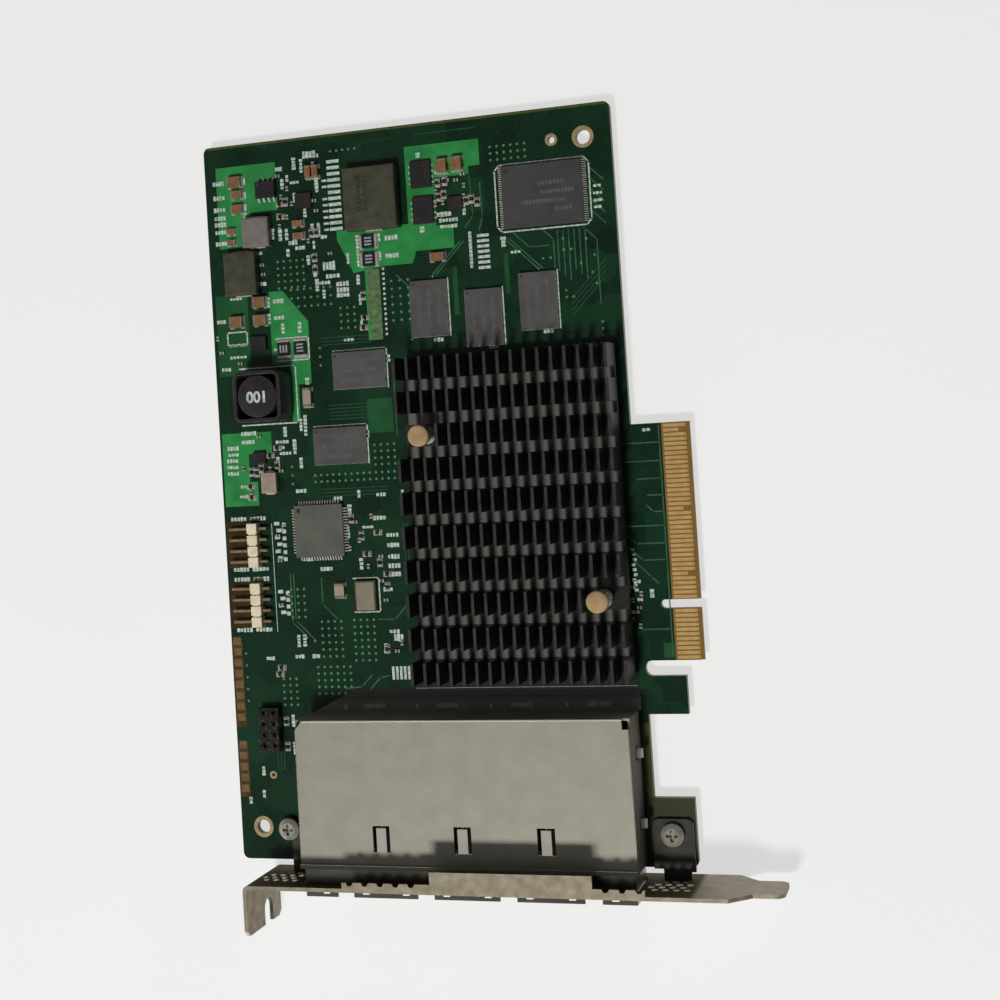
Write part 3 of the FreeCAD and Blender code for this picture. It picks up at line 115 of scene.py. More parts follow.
def place_in(tree):
    """Place on the object, as outputs X, Y and Z."""
    return add(tree, "SeparateXYZ", {0: add(tree, "TexCoord").outputs["Object"]}).outputs


def facing_in(tree):
    """Way that the surface faces, as outputs X, Y and Z."""
    return add(tree, "SeparateXYZ", {0: add(tree, "NewGeometry").outputs["Normal"]}).outputs


def blend(tree, mask, low, high):
    """Output of a mix of two colours by a mask."""
    return add(tree, "Mix", {0: mask, 6: low, 7: high}, data_type="RGBA").outputs[2]


def effect(name, inputs, outputs):
    """New shader node group with named sockets, its inlet's outputs and its outlet."""
    group = bpy.data.node_groups.new(name, "ShaderNodeTree")
    for label, kind in inputs.items():
        group.interface.new_socket(label, in_out="INPUT", socket_type="NodeSocket" + kind)
    for label, kind in outputs.items():
        group.interface.new_socket(label, in_out="OUTPUT", socket_type="NodeSocket" + kind)
    return group, group.nodes.new("NodeGroupInput").outputs, group.nodes.new("NodeGroupOutput").inputs


# Broad clouds of tint over the base colour, with a fine grain in gloss and height.
mottle, given, gives = effect(
    "Mottled surface",
    {"Vector": "Vector", "Base": "Color", "Tint": "Color", "Scale": "Float", "Roughness": "Float",
     "Spread": "Float"},
    {"Color": "Color", "Roughness": "Float", "Height": "Float"})
grain_fineness = 11.0
cloud = noise(mottle, given["Vector"], given["Scale"], 5.0)
grain_scale = math_node(mottle, "MULTIPLY", given["Scale"], grain_fineness)
grain = noise(mottle, given["Vector"], grain_scale, 3.0)
tinted = blend(mottle, ramp(mottle, cloud, 0.32, 0.68), given["Base"], given["Tint"])
mottle.links.new(tinted, gives["Color"])
gloss_step = math_node(mottle, "MULTIPLY", math_node(mottle, "SUBTRACT", grain, 0.5), given["Spread"])
mottle.links.new(math_node(mottle, "ADD", gloss_step, given["Roughness"]), gives["Roughness"])
mottle.links.new(grain, gives["Height"])

# Broken edges, marked on the mesh, rubbed through in patches.
wear, given, gives = effect(
    "Rubbed edges", {"Vector": "Vector", "Color": "Color", "Bare": "Color", "Amount": "Float"},
    {"Color": "Color"})
marked = add(wear, "Attribute", attribute_name="wear_and_painted_light").outputs["Fac"]
patch = ramp(wear, noise(wear, given["Vector"], 700.0, 4.0), 0.4, 0.62)
rubbed = math_node(wear, "MULTIPLY", math_node(wear, "MULTIPLY", marked, patch), given["Amount"])
wear.links.new(blend(wear, rubbed, given["Color"], given["Bare"]), gives["Color"])

# Fine pale dust that has settled in spots on faces that look up.
dust, given, gives = effect(
    "Settled dust", {"Vector": "Vector", "Color": "Color", "Amount": "Float"}, {"Color": "Color"})
dust_grey = tone(178, 172, 158)
upward = ramp(dust, facing_in(dust)["Z"], 0.6, 0.95)
spots = ramp(dust, noise(dust, given["Vector"], 2600.0), 0.56, 0.78)
haze = math_node(dust, "MULTIPLY", math_node(dust, "MULTIPLY", spots, upward), given["Amount"])
dust.links.new(blend(dust, haze, given["Color"], dust_grey), gives["Color"])

bump_depth = 0.02


def dressed(name, base, tint, scale, rough, spread, bump=0.15, stretch=(1, 1, 1), bare=None, rub=0.6,
            dusty=0.25, **constants):
    """Material of mottled colour and gloss, with rubbed edges, dust and a fine bump."""
    material = bpy.data.materials.new(name)
    material.use_nodes = True
    tree = material.node_tree
    shader = tree.nodes["Principled BSDF"]
    for socket, value in constants.items():
        shader.inputs[socket.replace("_", " ")].default_value = value
    place = add(tree, "TexCoord").outputs["Object"]
    place = add(tree, "Mapping", {"Vector": place, "Scale": stretch}).outputs["Vector"]
    skin = add(tree, "Group", {"Vector": place, "Base": base, "Tint": tint, "Scale": scale,
                               "Roughness": rough, "Spread": spread}, node_tree=mottle).outputs
    colour = skin["Color"]
    if bare:
        colour = add(tree, "Group", {"Vector": place, "Color": colour, "Bare": bare, "Amount": rub},
                     node_tree=wear).outputs["Color"]
    if dusty:
        colour = add(tree, "Group", {"Vector": place, "Color": colour, "Amount": dusty},
                     node_tree=dust).outputs["Color"]
    relief = add(tree, "Bump", {"Height": skin["Height"], "Strength": bump, "Distance": bump_depth * mm})
    for socket, value in (("Base Color", colour), ("Roughness", skin["Roughness"]),
                          ("Normal", relief.outputs["Normal"])):
        tree.links.new(value, shader.inputs[socket])
    return material


def surface(material):
    """Node tree of a material, its shader and the colour that it has so far."""
    tree = material.node_tree
    shader = tree.nodes["Principled BSDF"]
    return tree, shader, shader.inputs["Base Color"].links[0].from_socket


def coat(finish, *names):
    """Gives a finish to solids that keep their shape."""
    for name in names:
        solids[name].data.materials.clear()
        solids[name].data.materials.append(finish)


mask_green = dressed("solder_mask", tone(15, 37, 25), tone(23, 50, 34), 90.0, 0.36, 0.12, dusty=0.06,
                     Specular_IOR_Level=0.3)
tree, shader, masked = surface(mask_green)
place = add(tree, "TexCoord").outputs["Object"]
across, along = place_in(tree)[:2]
cells = add(tree, "TexVoronoi", {"Vector": place, "Scale": 130.0}, distance="CHEBYCHEV")
cell_tint = add(tree, "SeparateColor", {0: cells.outputs["Color"]}).outputs[0]
cell_mask = math_node(tree, "MULTIPLY", ramp(tree, cell_tint, 0.55, 1.0), 0.5)
planes = blend(tree, cell_mask, masked, tone(29, 62, 42))
is_side = math_node(tree, "LESS_THAN", math_node(tree, "ABSOLUTE", facing_in(tree)["Z"]), 0.5)
plies = add(tree, "Mapping", {"Vector": place, "Scale": (1, 1, 30)}).outputs["Vector"]
layers = noise(tree, plies, 160.0)
laminate = blend(tree, layers, tone(84, 78, 40), tone(122, 112, 66))
tip_tan = blend(tree, layers, tone(112, 84, 44), tone(138, 108, 60))
lug_olive = blend(tree, layers, tone(54, 55, 39), tone(70, 69, 54))
margin_pale_olive = blend(tree, layers, tone(66, 69, 43), tone(84, 84, 56))


def right_of(left, low, high):
    """Mask of the board right of a place in X and between two places in Y."""
    reach = math_node(tree, "COMPARE", along, (low + high) / 2 * mm, (high - low) / 2 * mm)
    return math_node(tree, "MULTIPLY", reach, math_node(tree, "GREATER_THAN", across, left * mm))


mask_end, tab_low, tab_high = -6.2, -12.2, 39.2
cage_edge, lug_low, lug_high, hook_low = -14.8, -70.0, -41.5, -25.5
# Right of the cage the board is painted dark olive on the lug and a paler olive on the strip beside the
# cage, up to the hook.
lug_tinted = blend(tree, right_of(cage_edge, lug_low, lug_high), planes, lug_olive)
margin_tinted = blend(tree, right_of(cage_edge, lug_high, hook_low), lug_tinted, margin_pale_olive)
covered = blend(tree, is_side, margin_tinted, laminate)
tipped = blend(tree, right_of(mask_end, tab_low, tab_high), covered, tip_tan)
tree.links.new(tipped, shader.inputs["Base Color"])
coat(mask_green, "circuit_board")


# Copper under the mask. Etched pours, a bus, tracks and plated vias, which the mask follows, so that they
# stand a hair above the bare laminate and look a brighter green. Copper of the inner layers shows dimly.
def plate(bm, x, y, width, length, low, high, turn=0.0):
    """Flat bar about a point, turned in degrees; returns its vertices."""
    spot = Vector((x, y, (low + high) / 2)) * mm
    size = Vector((width, length, high - low)) * mm
    place = Matrix.LocRotScale(spot, Quaternion((0, 0, 1), math.radians(turn)), size)
    return bmesh.ops.create_cube(bm, size=1.0, matrix=place)["verts"]


def slab(bm, corners, low, high):
    """Flat plate with a drawn outline."""
    rim = [bm.verts.new(Vector((x, y, low)) * mm) for x, y in corners]
    grown = bmesh.ops.extrude_face_region(bm, geom=[bm.faces.new(rim)], use_keep_orig=True)
    lifted = [v for v in grown["geom"] if isinstance(v, bmesh.types.BMVert)]
    bmesh.ops.translate(bm, vec=Vector((0, 0, high - low)) * mm, verts=lifted)


def strip(bm, path, width, low, high):
    """Flat track along a bent line."""
    for (x0, y0), (x1, y1) in zip(path, path[1:]):
        length = math.hypot(x1 - x0, y1 - y0) + width
        turn = math.degrees(math.atan2(y1 - y0, x1 - x0))
        plate(bm, (x0 + x1) / 2, (y0 + y1) / 2, length, width, low, high, turn)


def disc(bm, x, y, radius, low, high, sides=8):
    """Short upright cylinder."""
    place = Matrix.Translation(Vector((x, y, (low + high) / 2)) * mm)
    bmesh.ops.create_cone(bm, cap_ends=True, segments=sides, radius1=radius * mm, radius2=radius * mm,
                          depth=(high - low) * mm, matrix=place)


def piece(name, bm, finish, slot, *nodes, smooth=None):
    """Finished object from a mesh; it stands in for the named solids."""
    bmesh.ops.recalc_face_normals(bm, faces=bm.faces)
    mesh = bpy.data.meshes.new(name)
    bm.to_mesh(mesh)
    bm.free()
    # Normals kept from the solid no longer fit the rounded edges.
    if "custom_normal" in mesh.attributes:
        mesh.attributes.remove(mesh.attributes["custom_normal"])
    mesh.materials.clear()
    mesh.materials.append(finish)
    mesh.shade_flat()
    if smooth:
        mesh.shade_smooth()
        mesh.set_sharp_from_angle(angle=math.radians(smooth))
    made = bpy.data.objects.new(name, mesh)
    bpy.context.scene.collection.objects.link(made)
    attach(made, "root")
    if nodes:
        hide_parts(*nodes)


def bars(name, places, rise, finish):
    """Piece of flat bars on the board, each given by its middle, width and length."""
    bm = bmesh.new()
    for bar in places:
        plate(bm, *bar, 0, rise)
    piece(name, bm, finish, "board")


copper_rise = 0.02
pours = bmesh.new()
corner_pour = [(-108.3, 105.2), (-93, 105.2), (-93, 94), (-100, 94), (-100, 86), (-108.3, 86)]
power_pour = [
    (-61, 105.2), (-43.3, 105.2), (-43.3, 99.3), (-46, 99.3), (-46, 97.5), (-54.4, 97.5), (-54.4, 86.6),
    (-50.4, 86.6), (-50.4, 81.3), (-59.5, 81.3), (-60.5, 78.6), (-67.3, 78.6), (-75, 77.6), (-77.2, 82.5),
    (-78.6, 85.5), (-78.6, 87.6), (-61, 87.6)]
drum_pour = [(-96.5, 75), (-93, 75), (-87, 67.5), (-87, 53), (-90.3, 53), (-90.3, 44.5), (-92.2, 44.5),
             (-92.2, 58), (-96.5, 58)]
left_pour = [(-110.6, 42.5), (-98, 42.5), (-98, 37.5), (-104, 37.5), (-104, 31), (-102, 31), (-102, 25.4),
             (-110.6, 25.4)]
for outline in (corner_pour, power_pour, drum_pour, left_pour):
    slab(pours, outline, 0, copper_rise)
plate(pours, -72, 70, 0.5, 16, 0, 2 * copper_rise)
pour_green = dressed("mask_over_copper", tone(38, 112, 58), tone(52, 138, 74), 160.0, 0.38, 0.2, dusty=0.08,
                     Specular_IOR_Level=0.35)
piece("copper_pours", pours, pour_green, "board")

bus_olive = dressed("mask_over_bus", tone(58, 92, 56), tone(104, 120, 86), 900.0, 0.42, 0.2, dusty=0.1)
bars("bus_strip", [(-70.4, 70, 3.3, 16.2)], copper_rise, bus_olive)
dim_green = dressed("mask_over_inner_copper", tone(27, 68, 40), tone(37, 84, 51), 160.0, 0.38, 0.2,
                    dusty=0.06, Specular_IOR_Level=0.3)
inner_patches = [
    (-106.1, 65.5, 8.2, 19), (-70.6, 44.6, 6.2, 7.8), (-7.5, -10, 2.4, 3.2), (-50.7, 71.5, 1.1, 11),
    (-38.5, 74.5, 1.1, 9)]
bars("inner_copper", inner_patches, copper_rise, dim_green)

track_width, track_rise = 0.28, 0.03
tracks = bmesh.new()
bent_tracks = [
    [(-38.6, 82.2), (-31.2, 74.8)], [(-37.6, 82.2), (-30.2, 74.8)],
    [(-36.4, 83.2), (-33, 79.8), (-28.6, 79.8)], [(-29.5, 83.2), (-27.4, 81), (-27.4, 70)],
    [(-20.4, 83), (-17.6, 80.2), (-17.6, 66)], [(-49.2, 82.4), (-56, 75.6)],
    [(-48.3, 82.4), (-55.1, 75.6)], [(-64.6, 76.2), (-61.8, 73.4), (-61.8, 62)],
    [(-46, 97), (-45.6, 88), (-47.6, 85.6)], [(-43.6, 95.2), (-43.4, 87.6), (-44.4, 84.6)],
    [(-17, 33.6), (-15.6, 35), (-6.9, 35)], [(-17, 31), (-6.9, 31)], [(-12, 27.2), (-6.9, 27.2)],
    [(-10, 23.6), (-6.9, 23.6)], [(-10.4, 21.4), (-9, 20), (-6.9, 20)],
    [(-16.8, 19), (-15, 17), (-6.9, 17)], [(-16.8, 16.6), (-13.2, 13.2), (-6.9, 13.2)],
    [(-16.4, 14), (-12, 9.6), (-6.9, 9.6)], [(-14, 9.6), (-10.4, 6), (-9, 4.6)],
    [(-13, -5.4), (-6.9, -5.4)], [(-6.75, -11.2), (-6.75, 38.6)],
    [(-82, -19), (-78, -18.6), (-74.4, -15), (-72.2, -14.6)], [(-83, -17.4), (-79, -17), (-76.4, -14.4)],
    [(-95.2, 9), (-95.2, -2), (-92, -5.2)], [(-94.4, 9), (-94.4, -1.6), (-90, -6)],
    [(-87.5, 8), (-87.5, 2), (-84, -1.5)], [(-66.8, 40), (-66.8, 56)],
    [(-66.2, 2), (-70, -1.8), (-74, -1.8)]]
fan_pitch, fan_step, slant_pitch = 1.25, 1.1, 2.4
for i in range(6):
    x = -26.4 + fan_pitch * i
    bent_tracks.append([(x, 82.8), (x, 74 - fan_step * (i % 3))])
for i in range(5):
    y = 96.6 - slant_pitch * i
    bent_tracks.append([(-18.8, y), (-15.4, y - 3.4)])
for path in bent_tracks:
    strip(tracks, path, track_width, 0, track_rise)
track_green = dressed("mask_over_tracks", tone(42, 80, 60), tone(66, 102, 80), 300.0, 0.36, 0.2, dusty=0.05,
                      Specular_IOR_Level=0.4)
piece("copper_tracks", tracks, track_green, "board")

fine_width, fine_rise = 0.25, 0.025
bundles = bmesh.new()
fine_runs = [
    (-83, 47.6, -68.4, 47.6, 5, 0, -0.8), (-58.4, 62, -58.4, 75, 3, 0.8, 0),
    (-45.4, 60, -45.4, 72, 3, 0.8, 0), (-32.8, 62, -32.8, 73, 3, 0.8, 0),
    (-86, 28.4, -70, 28.4, 3, 0, -0.8), (-66.6, 6, -66.6, 20, 2, 0.8, 0),
    (-84, 61.6, -72, 61.6, 3, 0, 0.8), (-92.4, 20, -86, 26.4, 3, 1.1, 0), (-24, 64, -16, 72, 4, 0, 1.2),
    (-101, -28, -101, -36, 3, 0.8, 0), (-58, 107.8, -44, 107.8, 1, 0, 0)]
for x0, y0, x1, y1, count, step_x, step_y in fine_runs:
    for i in range(count):
        off_x, off_y = step_x * i, step_y * i
        run = [(x0 + off_x, y0 + off_y), (x1 + off_x, y1 + off_y)]
        strip(bundles, run, fine_width, 0, fine_rise)
faint_green = dressed("mask_over_fine_tracks", tone(28, 62, 42), tone(42, 78, 55), 300.0, 0.36, 0.2,
                      dusty=0.05, Specular_IOR_Level=0.4)
piece("fine_tracks", bundles, faint_green, "board")

via_radius, via_rise = 0.31, 0.035
vias = bmesh.new()
via_fields = [
    (-93.8, -87.4, 5, 75.6, 81.8, 5), (-90.8, -81, 7, 71, 75, 3), (-78.8, -75.4, 3, 65.2, 69.8, 4),
    (-79, -73, 5, 106.2, 106.2, 1), (-87.5, -68, 14, 30.2, 31.7, 2), (-72.5, -67.7, 4, 33.5, 38, 4),
    (-40.7, -32.7, 6, 100, 103, 3), (-98.4, -95.2, 3, -21, -15, 5), (-89.6, -81.6, 6, -18.5, -12.4, 5),
    (-88, -83.2, 4, -10, -2, 6), (-80, -75.2, 4, -11, -1.8, 7), (-95.2, -92, 3, -0.8, 5.6, 5),
    (-17.5, -17.5, 1, 59, 62, 3), (-107.6, -107.6, 1, -20, -9, 5), (-26, -16.5, 7, 56, 57.4, 2),
    (-84.5, -84.5, 1, 57, 61, 3), (-93.2, -93.2, 1, 30, 34, 3), (-66, -62, 3, 66, 75, 6)]
for x0, x1, columns, y0, y1, rows in via_fields:
    for i in range(columns):
        for j in range(rows):
            x = x0 + (x1 - x0) * i / max(columns - 1, 1)
            y = y0 + (y1 - y0) * j / max(rows - 1, 1)
            disc(vias, x, y, via_radius, 0, via_rise)
for x, y in ((-25.2, 81), (-25.2, 78.5), (-23.5, 78.5), (-20, 80.5), (-21.5, 75.2), (-18.3, 76.8), (-19, 73),
             (-18.2, 70.5), (-25.2, 69.5), (-25.2, 68), (-23.6, 68), (-30, 77), (-28.3, 77), (-31.2, 74.8),
             (-30.2, 73.9), (-56, 75.2), (-61.8, 61.4), (-92, -5.6), (-90, -6.4)):
    disc(vias, x, y, via_radius, 0, via_rise)
via_green = dressed("tented_via", tone(64, 110, 77), tone(92, 134, 100), 900.0, 0.36, 0.2, dusty=0.05)
piece("vias", vias, via_green, "board")


# Bare laminate and plating. Strips where the mask is left open or thin, tinned pads, hole rings and a test
# pad, and the edge contacts, which are nickel under hard gold and run on over the bevel of the tab.
bare_rise, border_rise = 0.03, 0.02
bare_laminate = dressed("open_laminate", tone(56, 42, 23), tone(82, 63, 36), 380.0, 0.5, 0.2, dusty=0.1)
bars("open_laminate", [(-109.7, -15.8, 2.5, 20.6), (-109.7, -36.2, 2.5, 12.4)], bare_rise, bare_laminate)
shaded_laminate = dressed("shaded_laminate", tone(46, 32, 15), tone(68, 48, 24), 380.0, 0.55, 0.2, dusty=0)
bars("shaded_laminate", [(-107.2, 16.3, 7, 10.6), (-107.2, 2.4, 7, 10.6)], bare_rise, shaded_laminate)
thin_mask = dressed("thin_mask", tone(58, 68, 30), tone(78, 84, 42), 300.0, 0.5, 0.2)
bars("pale_border", [(-62.2, 109.9, 96.8, 0.5)], border_rise, thin_mask)

tin = dressed("solder_tin", tone(216, 213, 202), tone(184, 181, 170), 700.0, 0.4, 0.3, bump=0.3,
              Metallic=0.5)
coat(tin, "flash_leads", "logic_leads", "regulator_leads", "transistor_leads", "tantalum_feet",
     "inductor_clips")
dull_gold = dressed("dull_gold", tone(136, 110, 72), tone(106, 85, 55), 700.0, 0.45, 0.25, bump=0.3,
                    Metallic=0.4)
coat(dull_gold, "edge_pads")
ring_plate = dressed("dull_ring", tone(196, 174, 130), tone(160, 140, 102), 700.0, 0.45, 0.25, bump=0.3,
                     Metallic=0.4)
coat(ring_plate, "hole_rings")
bore_shade = dressed("bore_shade", tone(52, 46, 34), tone(38, 34, 26), 900.0, 0.6, 0.2, dusty=0)
test_x, test_y = -102.4, -37.2
for name, radius, low, high, sides, finish in (("test_pad", 0.9, 0, 0.04, 20, ring_plate),
                                               ("test_pad_bore", 0.4, 0.02, 0.05, 16, bore_shade)):
    ring = bmesh.new()
    disc(ring, test_x, test_y, radius, low, high, sides)
    piece(name, ring, finish, "plating")
gold = dressed("hard_gold", tone(234, 196, 130), tone(214, 173, 108), 420.0, 0.4, 0.2, bump=0.2, dusty=0.06,
               Metallic=0.5)
coat(gold, "edge_contacts_top", "edge_contacts_bottom", "socket_contacts")

weld_gap = 0.001


def loose_boxes(node):
    """Lowest and highest corner of every separate solid of a node, in order."""
    bm = bmesh.new()
    bm.from_mesh(solids[node].data)
    bmesh.ops.remove_doubles(bm, verts=bm.verts, dist=weld_gap * mm)
    waiting = set(bm.verts)
    boxes = []
    for start in bm.verts:
        if start not in waiting:
            continue
        waiting.remove(start)
        spread = [start]
        corners = []
        while spread:
            vert = spread.pop()
            corners.append(vert.co.copy())
            fresh = [e.other_vert(vert) for e in vert.link_edges if e.other_vert(vert) in waiting]
            waiting.difference_update(fresh)
            spread += fresh
        boxes.append((Vector(map(min, zip(*corners))) / mm, Vector(map(max, zip(*corners))) / mm))
    bm.free()
    return boxes


bevel_start, bevel_slope = -1.35, 0.45 / 1.35
tip_reach, tip_sink, tip_slack = 0.55, 0.02, 0.1
tip_middle = bevel_start + tip_reach / 2
tips = bmesh.new()
for low, high in loose_boxes("edge_contacts_top"):
    if high.x > bevel_start - tip_slack:
        y, width = (low.y + high.y) / 2, high.y - low.y
        for vert in plate(tips, tip_middle, y, tip_reach, width, -tip_sink, high.z):
            if vert.co.x > tip_middle * mm:
                vert.co.z -= tip_reach * bevel_slope * mm
piece("contact_tips", tips, gold, "plating")


# Print on the board. Thin white ink, screened on last: outlines of the components, and bars and rows of
# small blocks beside them.
ink_low, ink_high = 0.02, 0.05
letter_pitch = 0.82
draw = random.Random(11)


def letters(bm, x, y, width, length, low, high):
    """Bar of print broken into small blocks along its longer side."""
    reach, depth = max(width, length), min(width, length)
    count = max(2, round(reach / letter_pitch))
    for i in range(count):
        shift = reach * ((i + 0.5) / count - 0.5)
        long_side = reach / count * draw.uniform(0.68, 0.92)
        short_side = depth * draw.uniform(0.8, 1.15)
        if width >= length:
            plate(bm, x + shift, y, long_side, short_side, low, high)
        else:
            plate(bm, x, y + shift, short_side, long_side, low, high)


marks = bmesh.new()


def mark(x, y, width, length):
    """Block of ink on the board."""
    plate(marks, x, y, width, length, ink_low, ink_high)


def word(x, y, width, length):
    """Broken bar of ink on the board."""
    letters(marks, x, y, width, length, ink_low, ink_high)


rung_pitch = 1.42
for i in range(12):
    rung_y = 103.8 - rung_pitch * i
    mark(-78.6, rung_y, 3.1, 0.75)
    if i > 2 and i != 5:
        mark(-81, rung_y, 1.2, 0.5)
block_rows = [
    (-43.6, 83.4, 0, -1.2, 7, 2.8, 0.65), (-71.2, -14, 0.95, 0, 5, 0.6, 3.0),
    (-67.8, 78, 0, -1.15, 14, 0.55, 0.55)]
for x, y, step_x, step_y, count, width, length in block_rows:
    for i in range(count):
        mark(x + step_x * i, y + step_y * i, width, length)
for y in (101.5, 98.1, 95.3, 93.3, 91.8, 90, 87.3):
    word(-107.8, y, 3.0, 1.0)
    mark(-101.3, y, 0.9, 1.6)
for y in (22.4, 10.6, 8.3, -3.5):
    word(-107.5, y, 4.1, 0.9)
    word(-102.6, y, 4.2, 0.9)
for y in (17.3, 15, 12.4, 10.3, 8.4):
    word(-69.4, y, 3.0, 0.95)
zigzag, zigzag_pitch = 0.2, 1.1
for i in range(9):
    mark(-14.2 + zigzag * (i % 3), 12 - zigzag_pitch * i, 0.8, 0.6)
level_bars = [
    (-84, 105.6, 4.2, 0.8), (-92.7, 92.5, 1.2, 1), (-89.6, 85.9, 2.4, 0.9), (-81, 79.8, 3.2, 1.9),
    (-82.4, 76, 3, 0.8), (-65.4, 84.9, 3.2, 1), (-65.4, 80.8, 3.2, 1), (-51.4, 87.6, 4.6, 0.8),
    (-51.4, 86.2, 4.2, 0.8), (-104.9, 74, 3.2, 0.6), (-94.2, 72.7, 2.8, 0.9), (-94.2, 68.8, 2.8, 0.9),
    (-109, 68.9, 2.4, 0.9), (-105.2, 63.2, 4.6, 0.5), (-103.7, 42.3, 4, 0.9), (-103.9, 40.3, 3.4, 0.8),
    (-107.9, 39, 3, 0.9), (-107.9, 37.5, 2.8, 0.8), (-95.3, 39.9, 3.4, 0.7), (-91.2, 28.3, 2.8, 0.9),
    (-86.1, 10.1, 3.2, 0.9), (-72.3, 21.3, 3.2, 0.9), (-75.3, 19.3, 2.8, 0.6), (-71.3, 5, 2.4, 0.9),
    (-69.4, -6, 2.4, 1.5), (-55.5, 60.8, 2.5, 0.85), (-42.6, 58.3, 2.5, 0.85), (-29.8, 60.8, 2.5, 0.85),
    (-68, 57.5, 1.2, 1.9), (-74.1, 40.6, 1.2, 1.9), (-9.5, 37.8, 2, 0.7), (-13.6, 5, 1.7, 0.7),
    (-13.2, 1.1, 1.3, 0.7), (-14.4, -1.6, 1.8, 0.7), (-108.2, 36.1, 3, 0.8), (-108.2, 34.6, 3, 0.8),
    (-108.2, 33.1, 3, 0.8), (-104.9, 29.9, 3.4, 0.7), (-105.4, 27.6, 3, 0.7), (-96.2, 38.6, 3, 0.7),
    (-94.6, 37.2, 3, 0.7), (-94, -9.9, 2.4, 0.9), (-89.9, -9.9, 2, 0.9), (-57.8, 103, 0.9, 1.2),
    (-57.8, 86, 1, 1.5), (-52.4, 89, 3.6, 1), (-77.9, 75.4, 3.2, 1.1), (-77.9, 74, 3.2, 1.1),
    (-77.9, 72.8, 3.2, 0.9), (-16.8, 91.9, 2, 0.6), (-16.8, 90.3, 2.2, 0.6), (-16.8, 88.7, 2, 0.6),
    (-16.9, 87.2, 1.8, 0.6), (-105.2, 60.3, 4.4, 0.6), (-108.4, 57.6, 2.4, 0.8), (-95.4, 61.4, 1.2, 0.6),
    (-70.3, -4.6, 2.6, 0.8), (-16.2, 37.2, 0.9, 2), (-84.4, 106.4, 3.4, 0.8), (-92.2, 103.4, 1.8, 0.9),
    (-88.4, 99.9, 2.4, 0.7), (-95.6, 91.6, 1.8, 0.9), (-87.9, 84.6, 2.6, 0.9), (-81.8, 86.6, 1.6, 0.8),
    (-80.2, 77.4, 3.6, 0.9), (-98.4, 84.2, 1.8, 0.8), (-97.9, 77, 2, 0.8), (-77.2, 62.4, 2.6, 0.7),
    (-71.6, 26.6, 2.4, 0.8), (-82.2, 26.2, 2.2, 0.8), (-90.4, 12.4, 2.6, 0.8), (-101.4, -10.2, 2.2, 0.8),
    (-53.2, 98.6, 2, 0.7), (-36.2, 79, 2.4, 0.6)]
upright_bars = [
    (-88.3, 104.3, 1, 3), (-86.5, 103.6, 0.8, 3.4), (-82.9, 98.6, 0.9, 3.2), (-92.7, 88, 0.9, 2.8),
    (-91, 83.7, 0.9, 2), (-84.2, 75.6, 0.9, 3), (-68.4, 85.2, 0.8, 1.9), (-68.4, 80.9, 0.8, 2.1),
    (-73.7, 82.6, 0.6, 7.4), (-46.6, 80.4, 0.7, 8.4), (-38.9, 81.5, 1.1, 2.4), (-96.7, 72.6, 0.7, 2.6),
    (-96.7, 68.7, 0.7, 2.6), (-103.3, 68.5, 0.8, 2.6), (-93.4, 66.2, 0.9, 2.6), (-89.2, 66.2, 0.9, 2.6),
    (-88.1, 53.6, 0.9, 1.8), (-90.3, 43.6, 0.7, 3), (-79.5, 23.4, 0.9, 2.8), (-77.4, 11, 0.9, 2.8),
    (-94, -6.3, 0.8, 2.9), (-92.5, -6.2, 0.8, 2.9), (-72.6, -8.4, 1, 2.3), (-96.6, -24.7, 0.8, 2.9),
    (-96.6, -31, 0.8, 3), (-96.6, 35, 0.8, 3.2), (-91.5, 99.8, 0.8, 2.6), (-90.2, 101, 0.7, 1.8),
    (-91.1, 88, 0.8, 2.8), (-84.6, 88.4, 0.8, 3.2), (-83, 88.4, 0.8, 3.2), (-84.4, 85, 0.7, 2),
    (-84.5, 79, 0.8, 3), (-76.2, 81, 0.7, 2.6), (-74, 76, 0.8, 2.4), (-92.2, 38.6, 0.9, 3.6),
    (-89.2, 43.4, 0.8, 5), (-10.5, 2.4, 0.9, 2), (-81.6, 23.8, 0.7, 2), (-80.2, 18.4, 0.8, 3),
    (-47.6, 90, 0.7, 3.4), (-93.8, 98.8, 0.8, 2.4), (-88.6, 96.4, 0.7, 2.4), (-86.2, 92.6, 0.8, 2.2),
    (-94.6, 88.4, 0.8, 2.6), (-86, 81.6, 0.8, 2.4), (-82.6, 73.4, 0.8, 2.2), (-73.8, 71.4, 0.7, 2.6),
    (-73.8, 65.6, 0.7, 2), (-90.8, 34.8, 0.8, 2.6), (-94.4, 42.2, 0.8, 2.4), (-77, 27, 0.7, 2),
    (-66.4, 26.4, 0.8, 2.2), (-104.8, -36.3, 0.8, 2.2), (-105, -41.6, 0.8, 2), (-108.5, -43.1, 0.8, 1.8)]
for bar in level_bars + upright_bars:
    word(*bar)
outline_width, header_line = 0.32, 0.16
outlines = [
    [(-40, 97.4), (-38.9, 98.6), (-19.5, 98.6), (-18.4, 97.4), (-18.4, 84.8), (-19.5, 83.6), (-38.9, 83.6),
     (-40, 84.8), (-40, 97.4)],
    [(-105, 57.5), (-90.9, 57.5), (-90.9, 44.2), (-105, 44.2)], [(-52.5, 61.6), (-52.5, 74.5)],
    [(-39.8, 58.6), (-39.8, 71.5)], [(-27, 61.4), (-27, 74.2)], [(-68.2, 51), (-68.2, 60), (-81.2, 60)],
    [(-74, 34), (-74, 42.9), (-87, 42.9)], [(-79.6, 7.7), (-73.4, 7.7), (-73.4, 0), (-79.6, 0)],
    [(-107.6, 63), (-102.6, 63), (-102.6, 66.2), (-107.6, 66.2), (-107.6, 63)],
    [(-95.4, 63.9), (-87.2, 63.9), (-87.2, 58.7), (-95.4, 58.7)]]
for path in outlines:
    strip(marks, path, outline_width, ink_low, ink_high)
strip(marks, [(-99.2, 21), (-99.2, -4)], header_line, ink_low, ink_high)
header_pitch, header_stagger, header_drop = 1.6, 0.5, 0.3
